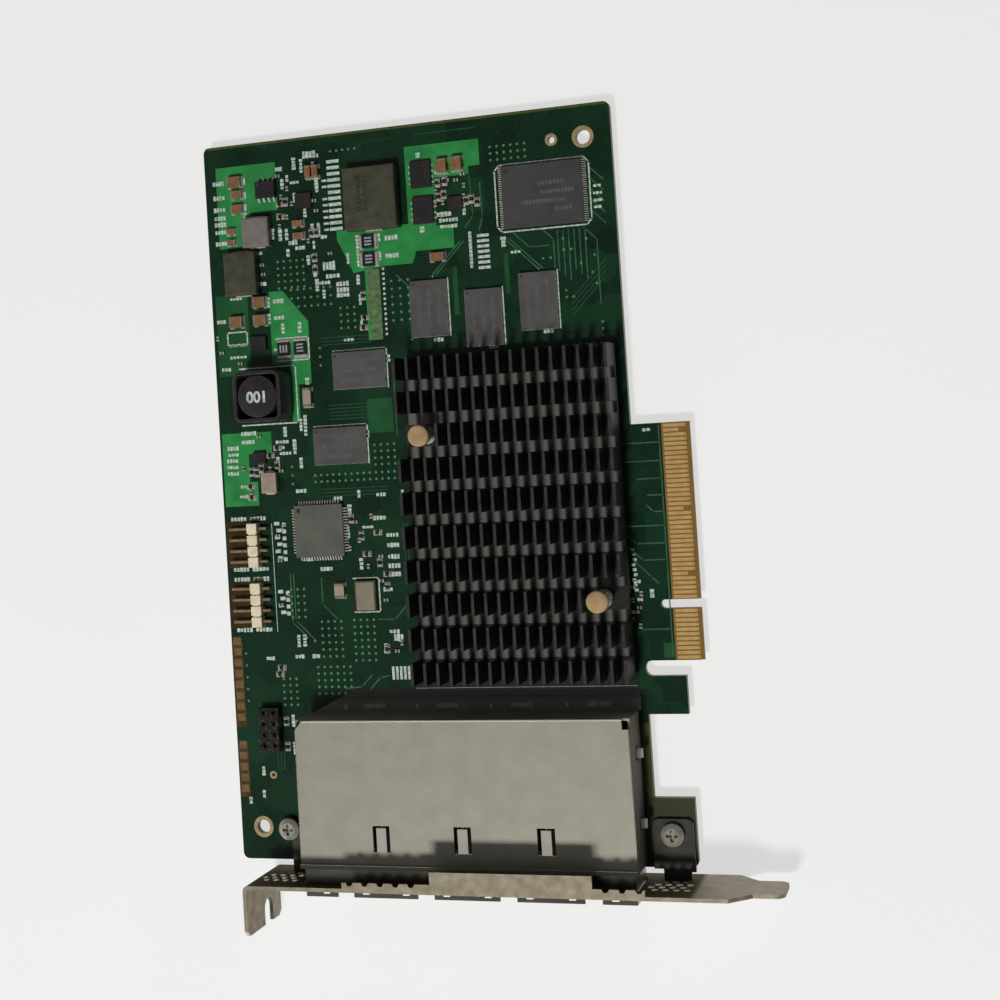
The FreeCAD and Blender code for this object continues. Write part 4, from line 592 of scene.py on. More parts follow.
for row, count in ((21, 6), (5.2, 4)):
    for i in range(count):
        y = row - header_pitch * i
        mark(-97.9 + header_stagger * (i % 2), y, 1.3, 0.8)
        mark(-96.1, y - header_drop, 0.9, 0.9)
ink = dressed("white_ink", tone(206, 213, 203), tone(132, 152, 136), 1300.0, 0.6, 0.2, bump=0.25, dusty=0)
piece("board_print", marks, ink, "board")


# Solder under the chip parts. Each end cap stands in a small wet fillet of tin on its pad, wider than the
# cap at the board and drawn up its sides.
fillet_reach, fillet_climb, fillet_lip = 0.28, 0.55, 0.02
fillets = bmesh.new()
for node in ("capacitor_ends", "passive_ends", "sense_caps"):
    for low, high in loose_boxes(node):
        middle, size = (low + high) / 2, high - low
        climb = fillet_climb * size.z
        width, length = size.x + 2 * fillet_reach, size.y + 2 * fillet_reach
        for vert in plate(fillets, middle.x, middle.y, width, length, 0, climb):
            if vert.co.z > climb / 2 * mm:
                for axis in (0, 1):
                    off = math.copysign(size[axis] / 2 + fillet_lip, vert.co[axis] - middle[axis] * mm)
                    vert.co[axis] = middle[axis] * mm + off * mm
piece("solder_fillets", fillets, tin, "solder")


# Chip parts. Ceramic capacitors, thick-film resistors and flat sense resistors: pressed or printed ceramic
# bodies with dipped metal ends, machine-placed and reflowed. The smallest are plain specks with raised ends.
flat_turn, sharp_turn = math.radians(1), math.radians(35)


def merged(node):
    """Copy of a solid with its triangles joined into whole faces."""
    bm = bmesh.new()
    bm.from_mesh(solids[node].data)
    bmesh.ops.remove_doubles(bm, verts=bm.verts, dist=weld_gap * mm)
    bmesh.ops.dissolve_limit(bm, angle_limit=flat_turn, verts=bm.verts, edges=bm.edges)
    return bm


def break_edges(bm, width, segments=2, chosen=None):
    """Rounds the convex edges, or the chosen ones of them, and marks the new faces for wear."""
    wear_and_painted_light = bm.faces.layers.float.get("wear_and_painted_light") or bm.faces.layers.float.new("wear_and_painted_light")
    sharp = []
    for edge in bm.edges:
        if edge.is_manifold and edge.is_convex and edge.calc_face_angle() > sharp_turn:
            middle = (edge.verts[0].co + edge.verts[1].co) / 2 / mm
            if chosen is None or chosen(middle):
                sharp.append(edge)
    bevelled = bmesh.ops.bevel(bm, geom=sharp, affect="EDGES", offset=width * mm, offset_type="OFFSET",
                               segments=segments, profile=0.5, clamp_overlap=True, material=-1)
    for face in bevelled["faces"]:
        face[wear_and_painted_light] = 1.0
    return bm


def rounded(name, node, width, finish, slot, segments=2, smooth=None):
    """Piece in place of a solid, with all its convex edges rounded."""
    piece(name, break_edges(merged(node), width, segments), finish, slot, node, smooth=smooth)


def laid(level, first, second):
    """Two measures in the order X, Y for a part that lies level, or swapped for an upright one."""
    return (first, second) if level else (second, first)


ceramic = dressed("capacitor_ceramic", tone(132, 98, 66), tone(108, 78, 52), 700.0, 0.42, 0.2,
                  bare=tone(176, 136, 98), dusty=0.08)
tree, shader, colour = surface(ceramic)
is_pale = add(tree, "Attribute", attribute_name="pale").outputs["Fac"]
tree.links.new(blend(tree, is_pale, colour, tone(150, 138, 122)), shader.inputs["Base Color"])
pale_places, pale_reach = [(-88, 49.9), (-82.8, 5.1)], 2.6
bodies = break_edges(merged("capacitor_bodies"), 0.08)
pale = bodies.faces.layers.float.new("pale")
for face in bodies.faces:
    spot = face.calc_center_median() / mm
    face[pale] = float(any(math.hypot(spot.x - x, spot.y - y) < pale_reach for x, y in pale_places))
piece("capacitors", bodies, ceramic, "ceramic_tan", "capacitor_bodies")
cap_tin = dressed("dipped_tin", tone(206, 202, 192), tone(172, 168, 158), 900.0, 0.4, 0.25, bump=0.3,
                  Metallic=0.5)
dull_tip = dressed("dull_tip", tone(160, 144, 120), tone(122, 106, 86), 700.0, 0.45, 0.25, bump=0.3,
                   Metallic=0.4)
rounded("capacitor_tips", "capacitor_ends", 0.12, dull_tip, "solder")
rounded("passive_tips", "passive_ends", 0.08, cap_tin, "solder")
rounded("sense_tips", "sense_caps", 0.1, cap_tin, "solder")
resistor_black = dressed("resistor_glaze", tone(28, 27, 27), tone(42, 40, 38), 600.0, 0.36, 0.2, dusty=0.05)
rounded("sense_bodies", "sense_resistors", 0.06, resistor_black, "package_black")
rounded("passive_bodies", "chip_passives", 0.06, resistor_black, "package_black")

specks = bmesh.new()
speck_ends = bmesh.new()
level_specks = [
    (-92.4, 101.8), (-83.6, 95.2), (-83.2, 92.8), (-97.6, 81.4), (-97.4, 79.2), (-84.6, 82.4),
    (-80.4, 82.6), (-53.4, 96.6), (-51.2, 96.6), (-49, 96.4), (-47.4, 97.6), (-95.8, 33.2), (-78.2, 20.6),
    (-73.2, 17.8), (-72.4, 12.6), (-72.6, 7), (-71.8, 2.6), (-14.6, 3.8), (-13.4, -0.6), (-15.2, -3),
    (-109.2, 61.6), (-104.6, 58.8), (-97.6, 18.2), (-97.4, 12.4), (-97.8, 2.2), (-69.8, -9), (-101, 41.4),
    (-65.6, 88.9)]
upright_specks = [
    (-90.2, 98.6), (-89.2, 95), (-91.8, 96.8), (-83.4, 103.6), (-92.6, 90), (-90.6, 92), (-85.6, 86),
    (-99.2, 76.4), (-53.9, 94.2), (-52.4, 91.6), (-47.2, 95), (-47.4, 92.6), (-54.2, 91.4), (-98.6, 33.8),
    (-79.8, 14.6), (-77.4, 16.4), (-75.6, 10.4), (-74.2, 21.8), (-12.8, 2.4), (-14.8, 1), (-13.4, -4.6),
    (-110, 65), (-96.2, 20), (-95.8, 4), (-68.6, -7.2), (-105.4, 34.2), (-103.8, 28.6), (-96.4, 46.2)]
speck_long, speck_wide, speck_high, speck_end = 1.1, 0.62, 0.42, 0.32
cap_overlap, cap_rise = 0.1, 0.03
for places, level in ((level_specks, True), (upright_specks, False)):
    for x, y in places:
        plate(specks, x, y, *laid(level, speck_long, speck_wide), 0, speck_high)
        for side in (-1, 1):
            off_x, off_y = laid(level, side * (speck_long - speck_end) / 2, 0)
            cap = laid(level, speck_end, speck_wide + cap_overlap)
            plate(speck_ends, x + off_x, y + off_y, *cap, 0, speck_high + cap_rise)
speck_tan = dressed("small_ceramic", tone(96, 82, 62), tone(64, 56, 46), 350.0, 0.45, 0.2)
piece("speck_bodies", specks, speck_tan, "ceramic_tan")
piece("speck_tips", speck_ends, cap_tin, "solder")

bar_step, bar_width, bar_length, bar_rise = 0.75, 0.4, 1.7, 0.015
value_bars = bmesh.new()
for low, high in loose_boxes("sense_resistors"):
    middle, size = (low + high) / 2, high - low
    level = size.x > size.y
    for i in (-1, 0, 1):
        off_x, off_y = laid(level, bar_step * i, 0)
        bar = laid(level, bar_width, bar_length)
        plate(value_bars, middle.x + off_x, middle.y + off_y, *bar, high.z, high.z + bar_rise)
grey_ink = dressed("grey_ink", tone(158, 160, 166), tone(122, 124, 130), 900.0, 0.6, 0.2, dusty=0)
piece("value_bars", value_bars, grey_ink, "package_black")


# Chips. Black moulding compound, a little glossy from the mould, with a round ejector dimple in one corner
# and rows of faint marks; the leads are stamped and tinned copper.
def moulded(name, node, finish, width=0.12):
    """Chip body with its mould edges rounded."""
    rounded(name, node, width, finish, "package_black")


def box_of(node):
    """Lowest and highest corner of a whole node."""
    return [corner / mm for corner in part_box(node)]


flash_black = dressed("flash_moulding", tone(62, 61, 61), tone(70, 69, 69), 240.0, 0.46, 0.14, bump=0.3,
                      dusty=0.03)
memory_black = dressed("memory_moulding", tone(72, 71, 70), tone(84, 83, 82), 200.0, 0.44, 0.14, bump=0.3,
                       dusty=0.04)
tree, shader, colour = surface(memory_black)
# The memory chips' sides are painted pale grey, so that their edges show as a pale line.
is_side = math_node(tree, "LESS_THAN", math_node(tree, "ABSOLUTE", facing_in(tree)["Z"]), 0.4)
tree.links.new(blend(tree, is_side, colour, tone(206, 206, 196)), shader.inputs["Base Color"])
logic_grey = dressed("logic_moulding", tone(80, 83, 76), tone(92, 94, 86), 220.0, 0.5, 0.14, bump=0.3,
                     dusty=0.04)
power_black = dressed("power_moulding", tone(38, 35, 36), tone(48, 44, 45), 260.0, 0.46, 0.16, bump=0.3,
                      dusty=0.05)
moulded("flash_body", "flash_chip", flash_black)
memory_chips = ["memory_chip_%d" % number for number in range(1, 6)]
for node in memory_chips:
    moulded(node.replace("chip", "body"), node, memory_black, 0.08)
moulded("logic_body", "logic_chip", logic_grey)
moulded("regulator_body", "regulator_chip", power_black)
moulded("small_chip_bodies", "small_chips", power_black, 0.1)
moulded("transistor_bodies", "power_transistors", power_black, 0.1)
coat(power_black, "controller_chip")
paste = dressed("heat_paste_pad", tone(150, 150, 152), tone(134, 134, 138), 300.0, 0.7, 0.1)
coat(paste, "thermal_pad")
dimple_low, dimple_high, dimple_sides = -0.05, 0.008, 20
dimples = bmesh.new()
for nodes, inset, radius in ((["flash_chip", "logic_chip"], 1.2, 0.55), (memory_chips, 0.8, 0.32),
                             (["regulator_chip"], 0.7, 0.3)):
    for node in nodes:
        low, high = box_of(node)
        disc(dimples, low.x + inset, high.y - inset, radius, high.z + dimple_low, high.z + dimple_high,
             dimple_sides)
mark_slip, mark_step, mark_share, mark_depth, mark_rise = 0.4, 2.3, 0.66, 0.9, 0.01
faint = bmesh.new()
for node in memory_chips:
    low, high = box_of(node)
    middle, size = (low + high) / 2, high - low
    level = size.x > size.y
    for i in (-1, 0, 1):
        off_x, off_y = laid(level, mark_slip * i, mark_step * i)
        bar = laid(level, mark_share * max(size.x, size.y), mark_depth)
        letters(faint, middle.x + off_x, middle.y + off_y, *bar, high.z, high.z + mark_rise)
low, high = box_of("flash_chip")
for x, y, width in ((-27, 93.6, 6), (-25.6, 91.6, 8), (-29, 89.6, 10), (-24.4, 87.6, 4)):
    letters(faint, x, y, width, mark_depth, high.z, high.z + mark_rise)
worn_mark = dressed("worn_mark", tone(92, 91, 90), tone(78, 77, 76), 900.0, 0.5, 0.1, dusty=0)
piece("faint_marks", faint, worn_mark, "package_black")
dimple_floor = dressed("dimple_floor", tone(46, 46, 46), tone(52, 52, 52), 500.0, 0.3, 0.1)
piece("ejector_dimples", dimples, dimple_floor, "package_black")


# Inductors. Blocks pressed from iron powder round a coil, and one drum of ferrite in a square shield; all
# stand on flat tinned clips.
powder = dressed("pressed_powder", tone(58, 58, 48), tone(72, 72, 60), 420.0, 0.58, 0.2, bump=0.6,
                 bare=tone(104, 98, 82), dusty=0.06)
pale_powder = dressed("pale_powder", tone(104, 100, 94), tone(120, 116, 108), 420.0, 0.55, 0.2, bump=0.6,
                      bare=tone(136, 132, 124), dusty=0.06)
for name, node, width, finish in (("power_block", "power_inductor", 0.15, powder),
                                  ("small_block", "small_inductor", 0.12, pale_powder),
                                  ("side_block", "block_inductor", 0.12, powder)):
    rounded(name, node, width, finish, "iron_powder", smooth=50)
stamp_sink, stamp_rise = 0.02, 0.012
stamps = bmesh.new()
low, high = box_of("power_inductor")
for x in (-71.4, -69.8):
    letters(stamps, x, 95.2, 1.1, 8.2, high.z - stamp_sink, high.z + stamp_rise)
dark_stamp = dressed("dark_stamp", tone(46, 45, 39), tone(58, 57, 48), 900.0, 0.6, 0.1)
piece("inductor_stamp", stamps, dark_stamp, "iron_powder")
ferrite = dressed("ferrite", tone(38, 36, 37), tone(50, 47, 48), 380.0, 0.48, 0.2, bump=0.5,
                  bare=tone(78, 74, 74), dusty=0.06)
rounded("drum_shield", "drum_frame", 0.18, ferrite, "ferrite", smooth=45)
rounded("drum_disc", "drum_core", 0.2, ferrite, "ferrite", smooth=45)
digit_height, digit_weight = 3.5, 0.12
digits = bpy.data.curves.new("value", "FONT")
digits.body = "100"
digits.size = digit_height * mm
digits.offset = digit_weight * mm
digits.align_x = "CENTER"
digits.align_y = "CENTER"
digits.extrude = stamp_rise * mm
written = bpy.data.objects.new("value", digits)
bpy.context.scene.collection.objects.link(written)
bpy.context.view_layer.update()
stamp = bmesh.new()
stamp.from_mesh(written.evaluated_get(bpy.context.evaluated_depsgraph_get()).to_mesh())
bpy.data.objects.remove(written)
low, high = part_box("drum_core")
top_middle = Vector(((low.x + high.x) / 2, (low.y + high.y) / 2, high.z))
spot = Matrix.Translation(top_middle) @ Matrix.Rotation(math.pi, 4, "Z")
bmesh.ops.transform(stamp, matrix=spot, verts=stamp.verts)
piece("drum_value", stamp, ink, "ferrite")


# Clock oscillator and tantalum capacitor. A ceramic can under a seam-welded metal lid, and a resin block
# moulded over its folded feet.
can = dressed("oscillator_ceramic", tone(70, 62, 48), tone(84, 74, 58), 500.0, 0.5, 0.2)
rounded("oscillator_can", "oscillator", 0.1, can, "ceramic_tan")
lid = dressed("welded_lid", tone(156, 150, 128), tone(140, 134, 114), 260.0, 0.42, 0.2,
              bare=tone(196, 190, 170), Metallic=0.4)
rounded("oscillator_cover", "oscillator_lid", 0.05, lid, "lid_metal")
resin = dressed("tantalum_resin", tone(152, 137, 121), tone(135, 120, 104), 500.0, 0.5, 0.2,
                bare=tone(176, 160, 144))
rounded("tantalum_block", "tantalum_capacitor", 0.2, resin, "resin_tan", segments=3)


# Headers. Two right-angle rows of square pins in cream nylon by the edge, their tails soldered through the
# board, and a black two-row block whose pins stand upright.
cream = dressed("cream_nylon", tone(222, 209, 182), tone(200, 187, 158), 420.0, 0.5, 0.2,
                bare=tone(232, 220, 190), dusty=0)
header_trim, face_depth = 0.28, 0.05
blocks = merged("right_angle_headers")
left_face = min(v.co.x for v in blocks.verts)
for vert in blocks.verts:
    if vert.co.x < left_face + face_depth * mm:
        vert.co.x += header_trim * mm
piece("header_bodies", break_edges(blocks, 0.12), cream, "header_cream", "right_angle_headers")
pin_metal = dressed("tinned_pin", tone(176, 156, 122), tone(140, 120, 92), 700.0, 0.36, 0.25, dusty=0.05,
                    Metallic=0.6)
rounded("edge_pins", "header_pins", 0.1, pin_metal, "plating")
black_nylon = dressed("black_nylon", tone(24, 24, 24), tone(34, 34, 33), 420.0, 0.5, 0.2)
rounded("black_header", "block_header", 0.15, black_nylon, "socket_black")
dark_pin = dressed("oxidised_pin", tone(74, 68, 60), tone(52, 48, 44), 700.0, 0.4, 0.25, Metallic=0.8)
rounded("black_header_posts", "block_header_pins", 0.1, dark_pin, "plating")


# Heat sink. Extruded aluminium comb, cross-cut into short fins and black anodised, with bare corners where
# it was handled. Painted shade darkens the floors between the fins, the fin tops and the fins' +X sides, and
# the cut floors carry painted light in patches between painted shadows of the fins.
anodised = dressed("black_anodised", tone(60, 59, 57), tone(74, 72, 68), 300.0, 0.5, 0.2, bump=0.5,
                   stretch=(1, 4, 1), bare=tone(92, 90, 86), rub=0.5, dusty=0.12)
low, high = box_of("heat_sink")
row_step, row_length, floor_top = 7.5, 5.0, 3.6
fin_step, fin_thickness, fin_top = 3.0, 0.7, 0.08
lit_half, dark_half = 0.6, 1.2
tree, shader, colour = surface(anodised)
place = place_in(tree)
phase = math_node(tree, "MODULO", math_node(tree, "SUBTRACT", place["Y"], low.y * mm), row_step * mm)
in_row = math_node(tree, "LESS_THAN", phase, row_length * mm)
is_floor = math_node(tree, "LESS_THAN", place["Z"], floor_top * mm)
# Painted shade: the floor between the fins of each row is painted darker.
floor_painted_shade = blend(tree, math_node(tree, "MULTIPLY", in_row, is_floor), colour, tone(44, 44, 43))
column = math_node(tree, "MODULO", math_node(tree, "SUBTRACT", place["X"], low.x * mm), fin_step * mm)
off_valley = math_node(tree, "SUBTRACT", column, (fin_step + fin_thickness) / 2 * mm)
valley = ramp(tree, math_node(tree, "ABSOLUTE", off_valley), dark_half * mm, lit_half * mm)
# Painted light and shadow on the cross-cut floors: lit patches between the fins, with the fins' shadows
# painted dark in line with them.
cut_painted_light_and_shadow = blend(tree, valley, tone(28, 28, 27), tone(92, 91, 87))
in_cut = math_node(tree, "MULTIPLY", is_floor, math_node(tree, "SUBTRACT", 1.0, in_row))
cut = blend(tree, in_cut, floor_painted_shade, cut_painted_light_and_shadow)
# Painted shade: the fin tops are painted darker than the rest.
is_top = math_node(tree, "GREATER_THAN", place["Z"], (high.z - fin_top) * mm)
streaks = noise(tree, add(tree, "TexCoord").outputs["Object"], 420.0)
topped = blend(tree, is_top, cut, blend(tree, streaks, tone(30, 30, 30), tone(66, 65, 62)))
# Painted shade: the fin sides that face +X are painted near-black.
is_flank = math_node(tree, "GREATER_THAN", facing_in(tree)["X"], 0.5)
tree.links.new(blend(tree, is_flank, topped, tone(27, 27, 27)), shader.inputs["Base Color"])
rounded("finned_sink", "heat_sink", 0.07, anodised, "anodised_black", segments=1)


# Push pins and springs. Brass pins turned on a lathe go through sink and board to a barb below, and a steel
# coil under each head presses the sink down.
def turned(bm, x, y, outline, steps=36):
    """Round piece about an upright axis, from its half outline of radius and height."""
    rim = [bm.verts.new(Vector((x + radius, y, height)) * mm) for radius, height in outline]
    edges = [bm.edges.new(pair) for pair in zip(rim, rim[1:])]
    bmesh.ops.spin(bm, geom=rim + edges, cent=Vector((x, y, 0)) * mm, axis=(0, 0, 1), dvec=(0, 0, 0),
                   angle=math.tau, steps=steps, use_merge=True, use_duplicate=False)
    bmesh.ops.remove_doubles(bm, verts=bm.verts, dist=weld_gap / 2 * mm)


def coil(bm, x, y, low, high, radius, wire, turns, steps=20):
    """Round wire wound about an upright axis."""
    start = Matrix.Translation(Vector((x + radius, y, low + wire / 2)) * mm)
    upright = Matrix.Rotation(math.pi / 2, 4, "X")
    ring = bmesh.ops.create_circle(bm, segments=8, radius=wire / 2 * mm, cap_ends=True,
                                   matrix=start @ upright)
    face = ring["verts"][0].link_faces[0]
    count = round(turns * steps)
    rise = Vector((0, 0, (high - low - wire) / count)) * mm
    bmesh.ops.spin(bm, geom=[face], cent=Vector((x, y, 0)) * mm, axis=(0, 0, 1), dvec=rise,
                   angle=math.tau * turns, steps=count, use_merge=False, use_duplicate=False)


pins = bmesh.new()
springs = bmesh.new()
point, barb, shank, barb_top, barb_lip = 0.6, 1.7, 1.2, -1.6, 0.02
head_edge, crown_start, crown_bend, crown_inset = 0.2, 0.35, 0.12, 0.4
dish_reach, dish_edge, dish_depth = 0.9, 0.06, 0.1
wire, turns = 0.5, 5
for (low, high), (sleeve_low, sleeve_high) in zip(loose_boxes("push_pins"), loose_boxes("pin_springs")):
    middle = (low + high) / 2
    head = (high.x - low.x) / 2
    head_low, top = sleeve_high.z, high.z
    turned(pins, middle.x, middle.y, [
        (0, low.z), (point, low.z), (barb, barb_top), (shank, barb_top - barb_lip), (shank, head_low),
        (head - head_edge, head_low), (head, head_low + head_edge), (head, top - crown_start),
        (head - crown_bend, top - crown_bend), (head - crown_inset, top), (dish_reach, top - dish_edge),
        (0, top - dish_depth)])
    winding = (sleeve_high.x - sleeve_low.x) / 2 - wire / 2
    coil(springs, middle.x, middle.y, sleeve_low.z, sleeve_high.z, winding, wire, turns)
brass = dressed("turned_brass", tone(204, 174, 130), tone(180, 150, 108), 420.0, 0.42, 0.2, bump=0.3,
                dusty=0.05, Metallic=0.45)
steel = dressed("spring_steel", tone(206, 204, 196), tone(178, 176, 168), 500.0, 0.34, 0.2, Metallic=0.3)
piece("pins", pins, brass, "pin_brass", "push_pins", smooth=40)
piece("coils", springs, steel, "spring_steel", "pin_springs", smooth=60)


# Port cage. Thin tinned steel sheet, stamped and folded over the four ports, with spring tongues lanced in
# its roof and windows and fingers at its sides. The dividers, the sockets and their contacts stand inside
# it. Behind it lies a dark sheet that is painted shadow of the cage, with the port labels printed on it.
low, high = box_of("port_cage")
roof, roof_underside, hair, touch = 10.8, 9, 0.02, 0.01
fold_radius, burr = 0.4, 0.05
tongue_root, tongue_long, tongue_half, tongue_trim = low.y + 3.8, 5.3, 1.45, 0.3
tongues = [(a.x + b.x) / 2 for a, b in loose_boxes("cage_dividers")]
sheet = merged("port_cage")
for vert in sheet.verts:
    spot = vert.co / mm
    in_reach = spot.z > roof_underside and -hair < spot.y - tongue_root < tongue_long + hair
    for x in tongues:
        if in_reach and abs(abs(spot.x - x) - tongue_half) < hair:
            vert.co.x -= math.copysign(tongue_trim, spot.x - x) * mm


def is_fold(spot):
    """Whether a place is on a line where the roof is folded down."""
    at_wall = min(abs(spot.x - low.x), abs(spot.x - high.x), abs(spot.y - high.y)) < touch
    return at_wall and abs(spot.z - roof) < touch


break_edges(sheet, fold_radius, 3, is_fold)
break_edges(sheet, burr, 1, lambda spot: spot.z > roof - touch)
cage_sheet = dressed("tinned_sheet", tone(176, 173, 161), tone(168, 165, 153), 200.0, 0.8, 0.06, bump=0.2,
                     dusty=0.05, Metallic=1.0)
tree, shader, colour = surface(cage_sheet)
place, facing = place_in(tree), facing_in(tree)
tongue_skin, bend_depth = 0.1, 0.5
over_x = 0.0
for x in tongues:
    over_one = math_node(tree, "COMPARE", place["X"], x * mm, tongue_half * mm)
    over_x = math_node(tree, "MAXIMUM", over_x, over_one)
over_y = math_node(tree, "COMPARE", place["Y"], (tongue_root + tongue_long / 2) * mm, tongue_long / 2 * mm)
over_z = math_node(tree, "GREATER_THAN", place["Z"], (roof - tongue_skin) * mm)
on_tongue = math_node(tree, "MULTIPLY", math_node(tree, "MULTIPLY", over_x, over_y), over_z)
# Painted shade: the side walls are painted a darker grey.
is_wall = math_node(tree, "GREATER_THAN", math_node(tree, "ABSOLUTE", facing["X"]), 0.6)
is_high = math_node(tree, "GREATER_THAN", place["Z"], (roof - bend_depth) * mm)
is_bend = math_node(tree, "MULTIPLY", math_node(tree, "COMPARE", facing["Y"], 0.6, 0.35), is_high)
walled = blend(tree, is_wall, colour, tone(112, 108, 98))
# Painted highlights: the roof's tongues are painted a pale grey and the back fold near-white, both without
# metal, so that they look lit.
tongued = blend(tree, on_tongue, walled, tone(152, 149, 139))
tree.links.new(blend(tree, is_bend, tongued, tone(204, 200, 188)), shader.inputs["Base Color"])
bright = math_node(tree, "MAXIMUM", on_tongue, is_bend)
tree.links.new(math_node(tree, "SUBTRACT", 1.0, bright), shader.inputs["Metallic"])
piece("cage_shell", sheet, cage_sheet, "cage_steel", "port_cage")

finger_middle, finger_reach, finger_width, finger_bend, finger_drop = 0.6, 1.3, 2.0, 0.8, 0.5
finger_low, finger_high = 4.4, 4.7
fingers = bmesh.new()
for y in (-31.2, -46.2):
    for side in (low.x, high.x):
        out = math.copysign(1, side - (low.x + high.x) / 2)
        x = side + finger_middle * out
        for vert in plate(fingers, x, y, finger_reach, finger_width, finger_low, finger_high):
            if abs(vert.co.x - side * mm) > finger_bend * mm:
                vert.co.z -= finger_drop * mm
finger_steel = dressed("finger_steel", tone(206, 203, 192), tone(182, 179, 168), 400.0, 0.4, 0.2,
                       Metallic=0.5)
piece("side_fingers", fingers, finger_steel, "cage_steel")

shadow_sheet_rise, print_rise, print_pitch, thin_line = 0.05, 0.07, 17.4, 0.07
shade_start, shade_end = -20.6, -18.6
# Painted shadow: a dark sheet on the board whose slanted left end follows the cage's shadow.
shadow_sheet_outline = [(-91.6, -22.8), (-80.4, -17.6), (-66, -17.6), (-65, -16.2), (-14.5, -16.2), (-14.5, -22.8)]
shadow_sheet_mesh = bmesh.new()
slab(shadow_sheet_mesh, shadow_sheet_outline, 0, shadow_sheet_rise)
shadow_sheet_finish = dressed("painted_cage_shadow", tone(112, 112, 107), tone(124, 124, 118), 260.0, 0.45, 0.2)
tree, shader, colour = surface(shadow_sheet_finish)
# Painted shade: the sheet is painted darker further from the cage, where the lamp reaches it.
from_cage = ramp(tree, place_in(tree)["Y"], shade_start * mm, shade_end * mm)
tree.links.new(blend(tree, from_cage, colour, tone(40, 40, 38)), shader.inputs["Base Color"])
piece("cage_shadow_sheet", shadow_sheet_mesh, shadow_sheet_finish, "socket_black")
shadow_sheet_print = bmesh.new()
plate(shadow_sheet_print, -40.5, -17.5, 51, thin_line, 0, print_rise)
for i in range(4):
    letters(shadow_sheet_print, -76.2 + print_pitch * i, -21.4, 5.2, 1.0, shadow_sheet_rise, print_rise)
    plate(shadow_sheet_print, -83.3 + print_pitch * i, -21.5, 0.8, 1.1, shadow_sheet_rise, print_rise)
dim_ink = dressed("dim_ink", tone(190, 191, 184), tone(150, 151, 145), 900.0, 0.6, 0.2)
piece("shadow_sheet_print", shadow_sheet_print, dim_ink, "socket_black")

coat(cage_sheet, "cage_dividers")
socket_black = dressed("socket_moulding", tone(26, 26, 27), tone(34, 34, 34), 420.0, 0.45, 0.15)
for number in range(1, 5):
    rounded("socket_%d" % number, "port_socket_%d" % number, 0.2, socket_black, "socket_black")
shroud_sheet = dressed("shroud_sheet", tone(150, 147, 138), tone(132, 129, 120), 120.0, 0.3, 0.15, bump=0.2,
                       Metallic=1.0)
rounded("mouth_shroud", "port_shroud", 0.08, shroud_sheet, "shroud_steel")


# Bracket. Zinc-plated steel strip, punched with the port window and vents and folded into tab, tongue, hood
# and two ears; a cross-head screw and a nut hold each ear to the board.
plated = dressed("zinc_plate", tone(163, 155, 137), tone(137, 128, 109), 420.0, 0.68, 0.15, bump=0.4,
                 bare=tone(198, 190, 172), dusty=0.1, Metallic=1.0)
tree, shader, colour = surface(plated)
place, facing = place_in(tree), facing_in(tree)
# Painted light and shade on the faces that look toward +Y: pale on the tongue, a painted reflection, and
# dark brown on the plate by the cage, a painted shade.
plate_shade_end, plate_shade_start, ear_top = -2.8, -4, 3
patches = noise(tree, add(tree, "TexCoord").outputs["Object"], 420.0, 4.0)
wear_and_painted_light = blend(tree, patches, tone(206, 197, 178), tone(162, 153, 135))
plate_inner_painted_shade = blend(tree, patches, tone(112, 101, 74), tone(86, 77, 55))
inner = blend(tree, ramp(tree, place["X"], plate_shade_end * mm, plate_shade_start * mm), wear_and_painted_light, plate_inner_painted_shade)
inner_faces_painted = blend(tree, math_node(tree, "GREATER_THAN", facing["Y"], 0.5), colour, inner)
# Painted shade: the ears' tops are painted a dark grey without metal.
is_low = math_node(tree, "LESS_THAN", place["Z"], ear_top * mm)
is_ear = math_node(tree, "MULTIPLY", is_low, math_node(tree, "GREATER_THAN", facing["Z"], 0.5))
tree.links.new(blend(tree, is_ear, inner_faces_painted, tone(62, 60, 56)), shader.inputs["Base Color"])
tree.links.new(math_node(tree, "SUBTRACT", 1.0, is_ear), shader.inputs["Metallic"])
rounded("slot_bracket", "bracket", 0.1, plated, "bracket_steel")
screw_metal = dressed("screw_plate", tone(200, 196, 182), tone(164, 160, 146), 400.0, 0.3, 0.2, Metallic=0.6)
rounded("screws", "bracket_screws", 0.12, screw_metal, "screw_steel", smooth=35)
rounded("nuts", "bracket_nuts", 0.15, screw_metal, "screw_steel", smooth=35)


# Floor, light and camera. A sheet of pale paper in a room that is brighter on one side, a high lamp for the
# board, a low lamp that lights the sheet metal only, and the camera where the photograph was taken from.
stage_middle = Vector((-0.05, 0.02, 0))
floor_half, floor_gap, paper_glow = 3.0, 0.02, 0.76
floor_place = stage_middle + Vector((0, 0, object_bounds()[0].z - floor_gap * mm))
floor_mesh = bpy.data.meshes.new("floor")
floor_bm = bmesh.new()
bmesh.ops.create_grid(floor_bm, x_segments=1, y_segments=1, size=floor_half,
                      matrix=Matrix.Translation(floor_place))
floor_bm.to_mesh(floor_mesh)
floor_bm.free()
paper = dressed("paper", tone(240, 240, 239), tone(234, 234, 232), 8.0, 0.9, 0.05, dusty=0, bump=0.02)
floor_mesh.materials.append(paper)
# The paper glows where it is seen, straight or in a reflection, so that it stays pale.
tree = paper.node_tree
path = add(tree, "LightPath").outputs
seen = math_node(tree, "MAXIMUM", path["Is Camera Ray"], path["Is Glossy Ray"])
seen = math_node(tree, "MAXIMUM", seen, path["Is Transmission Ray"])
glow = add(tree, "Emission", {"Color": tone(238, 238, 237)}).outputs["Emission"]
lit = add(tree, "MixShader", {0: math_node(tree, "MULTIPLY", seen, paper_glow),
                              1: tree.nodes["Principled BSDF"].outputs["BSDF"], 2: glow})
tree.links.new(lit.outputs["Shader"], tree.nodes["Material Output"].inputs["Surface"])
floor = bpy.data.objects.new("floor", floor_mesh)
bpy.context.scene.collection.objects.link(floor)

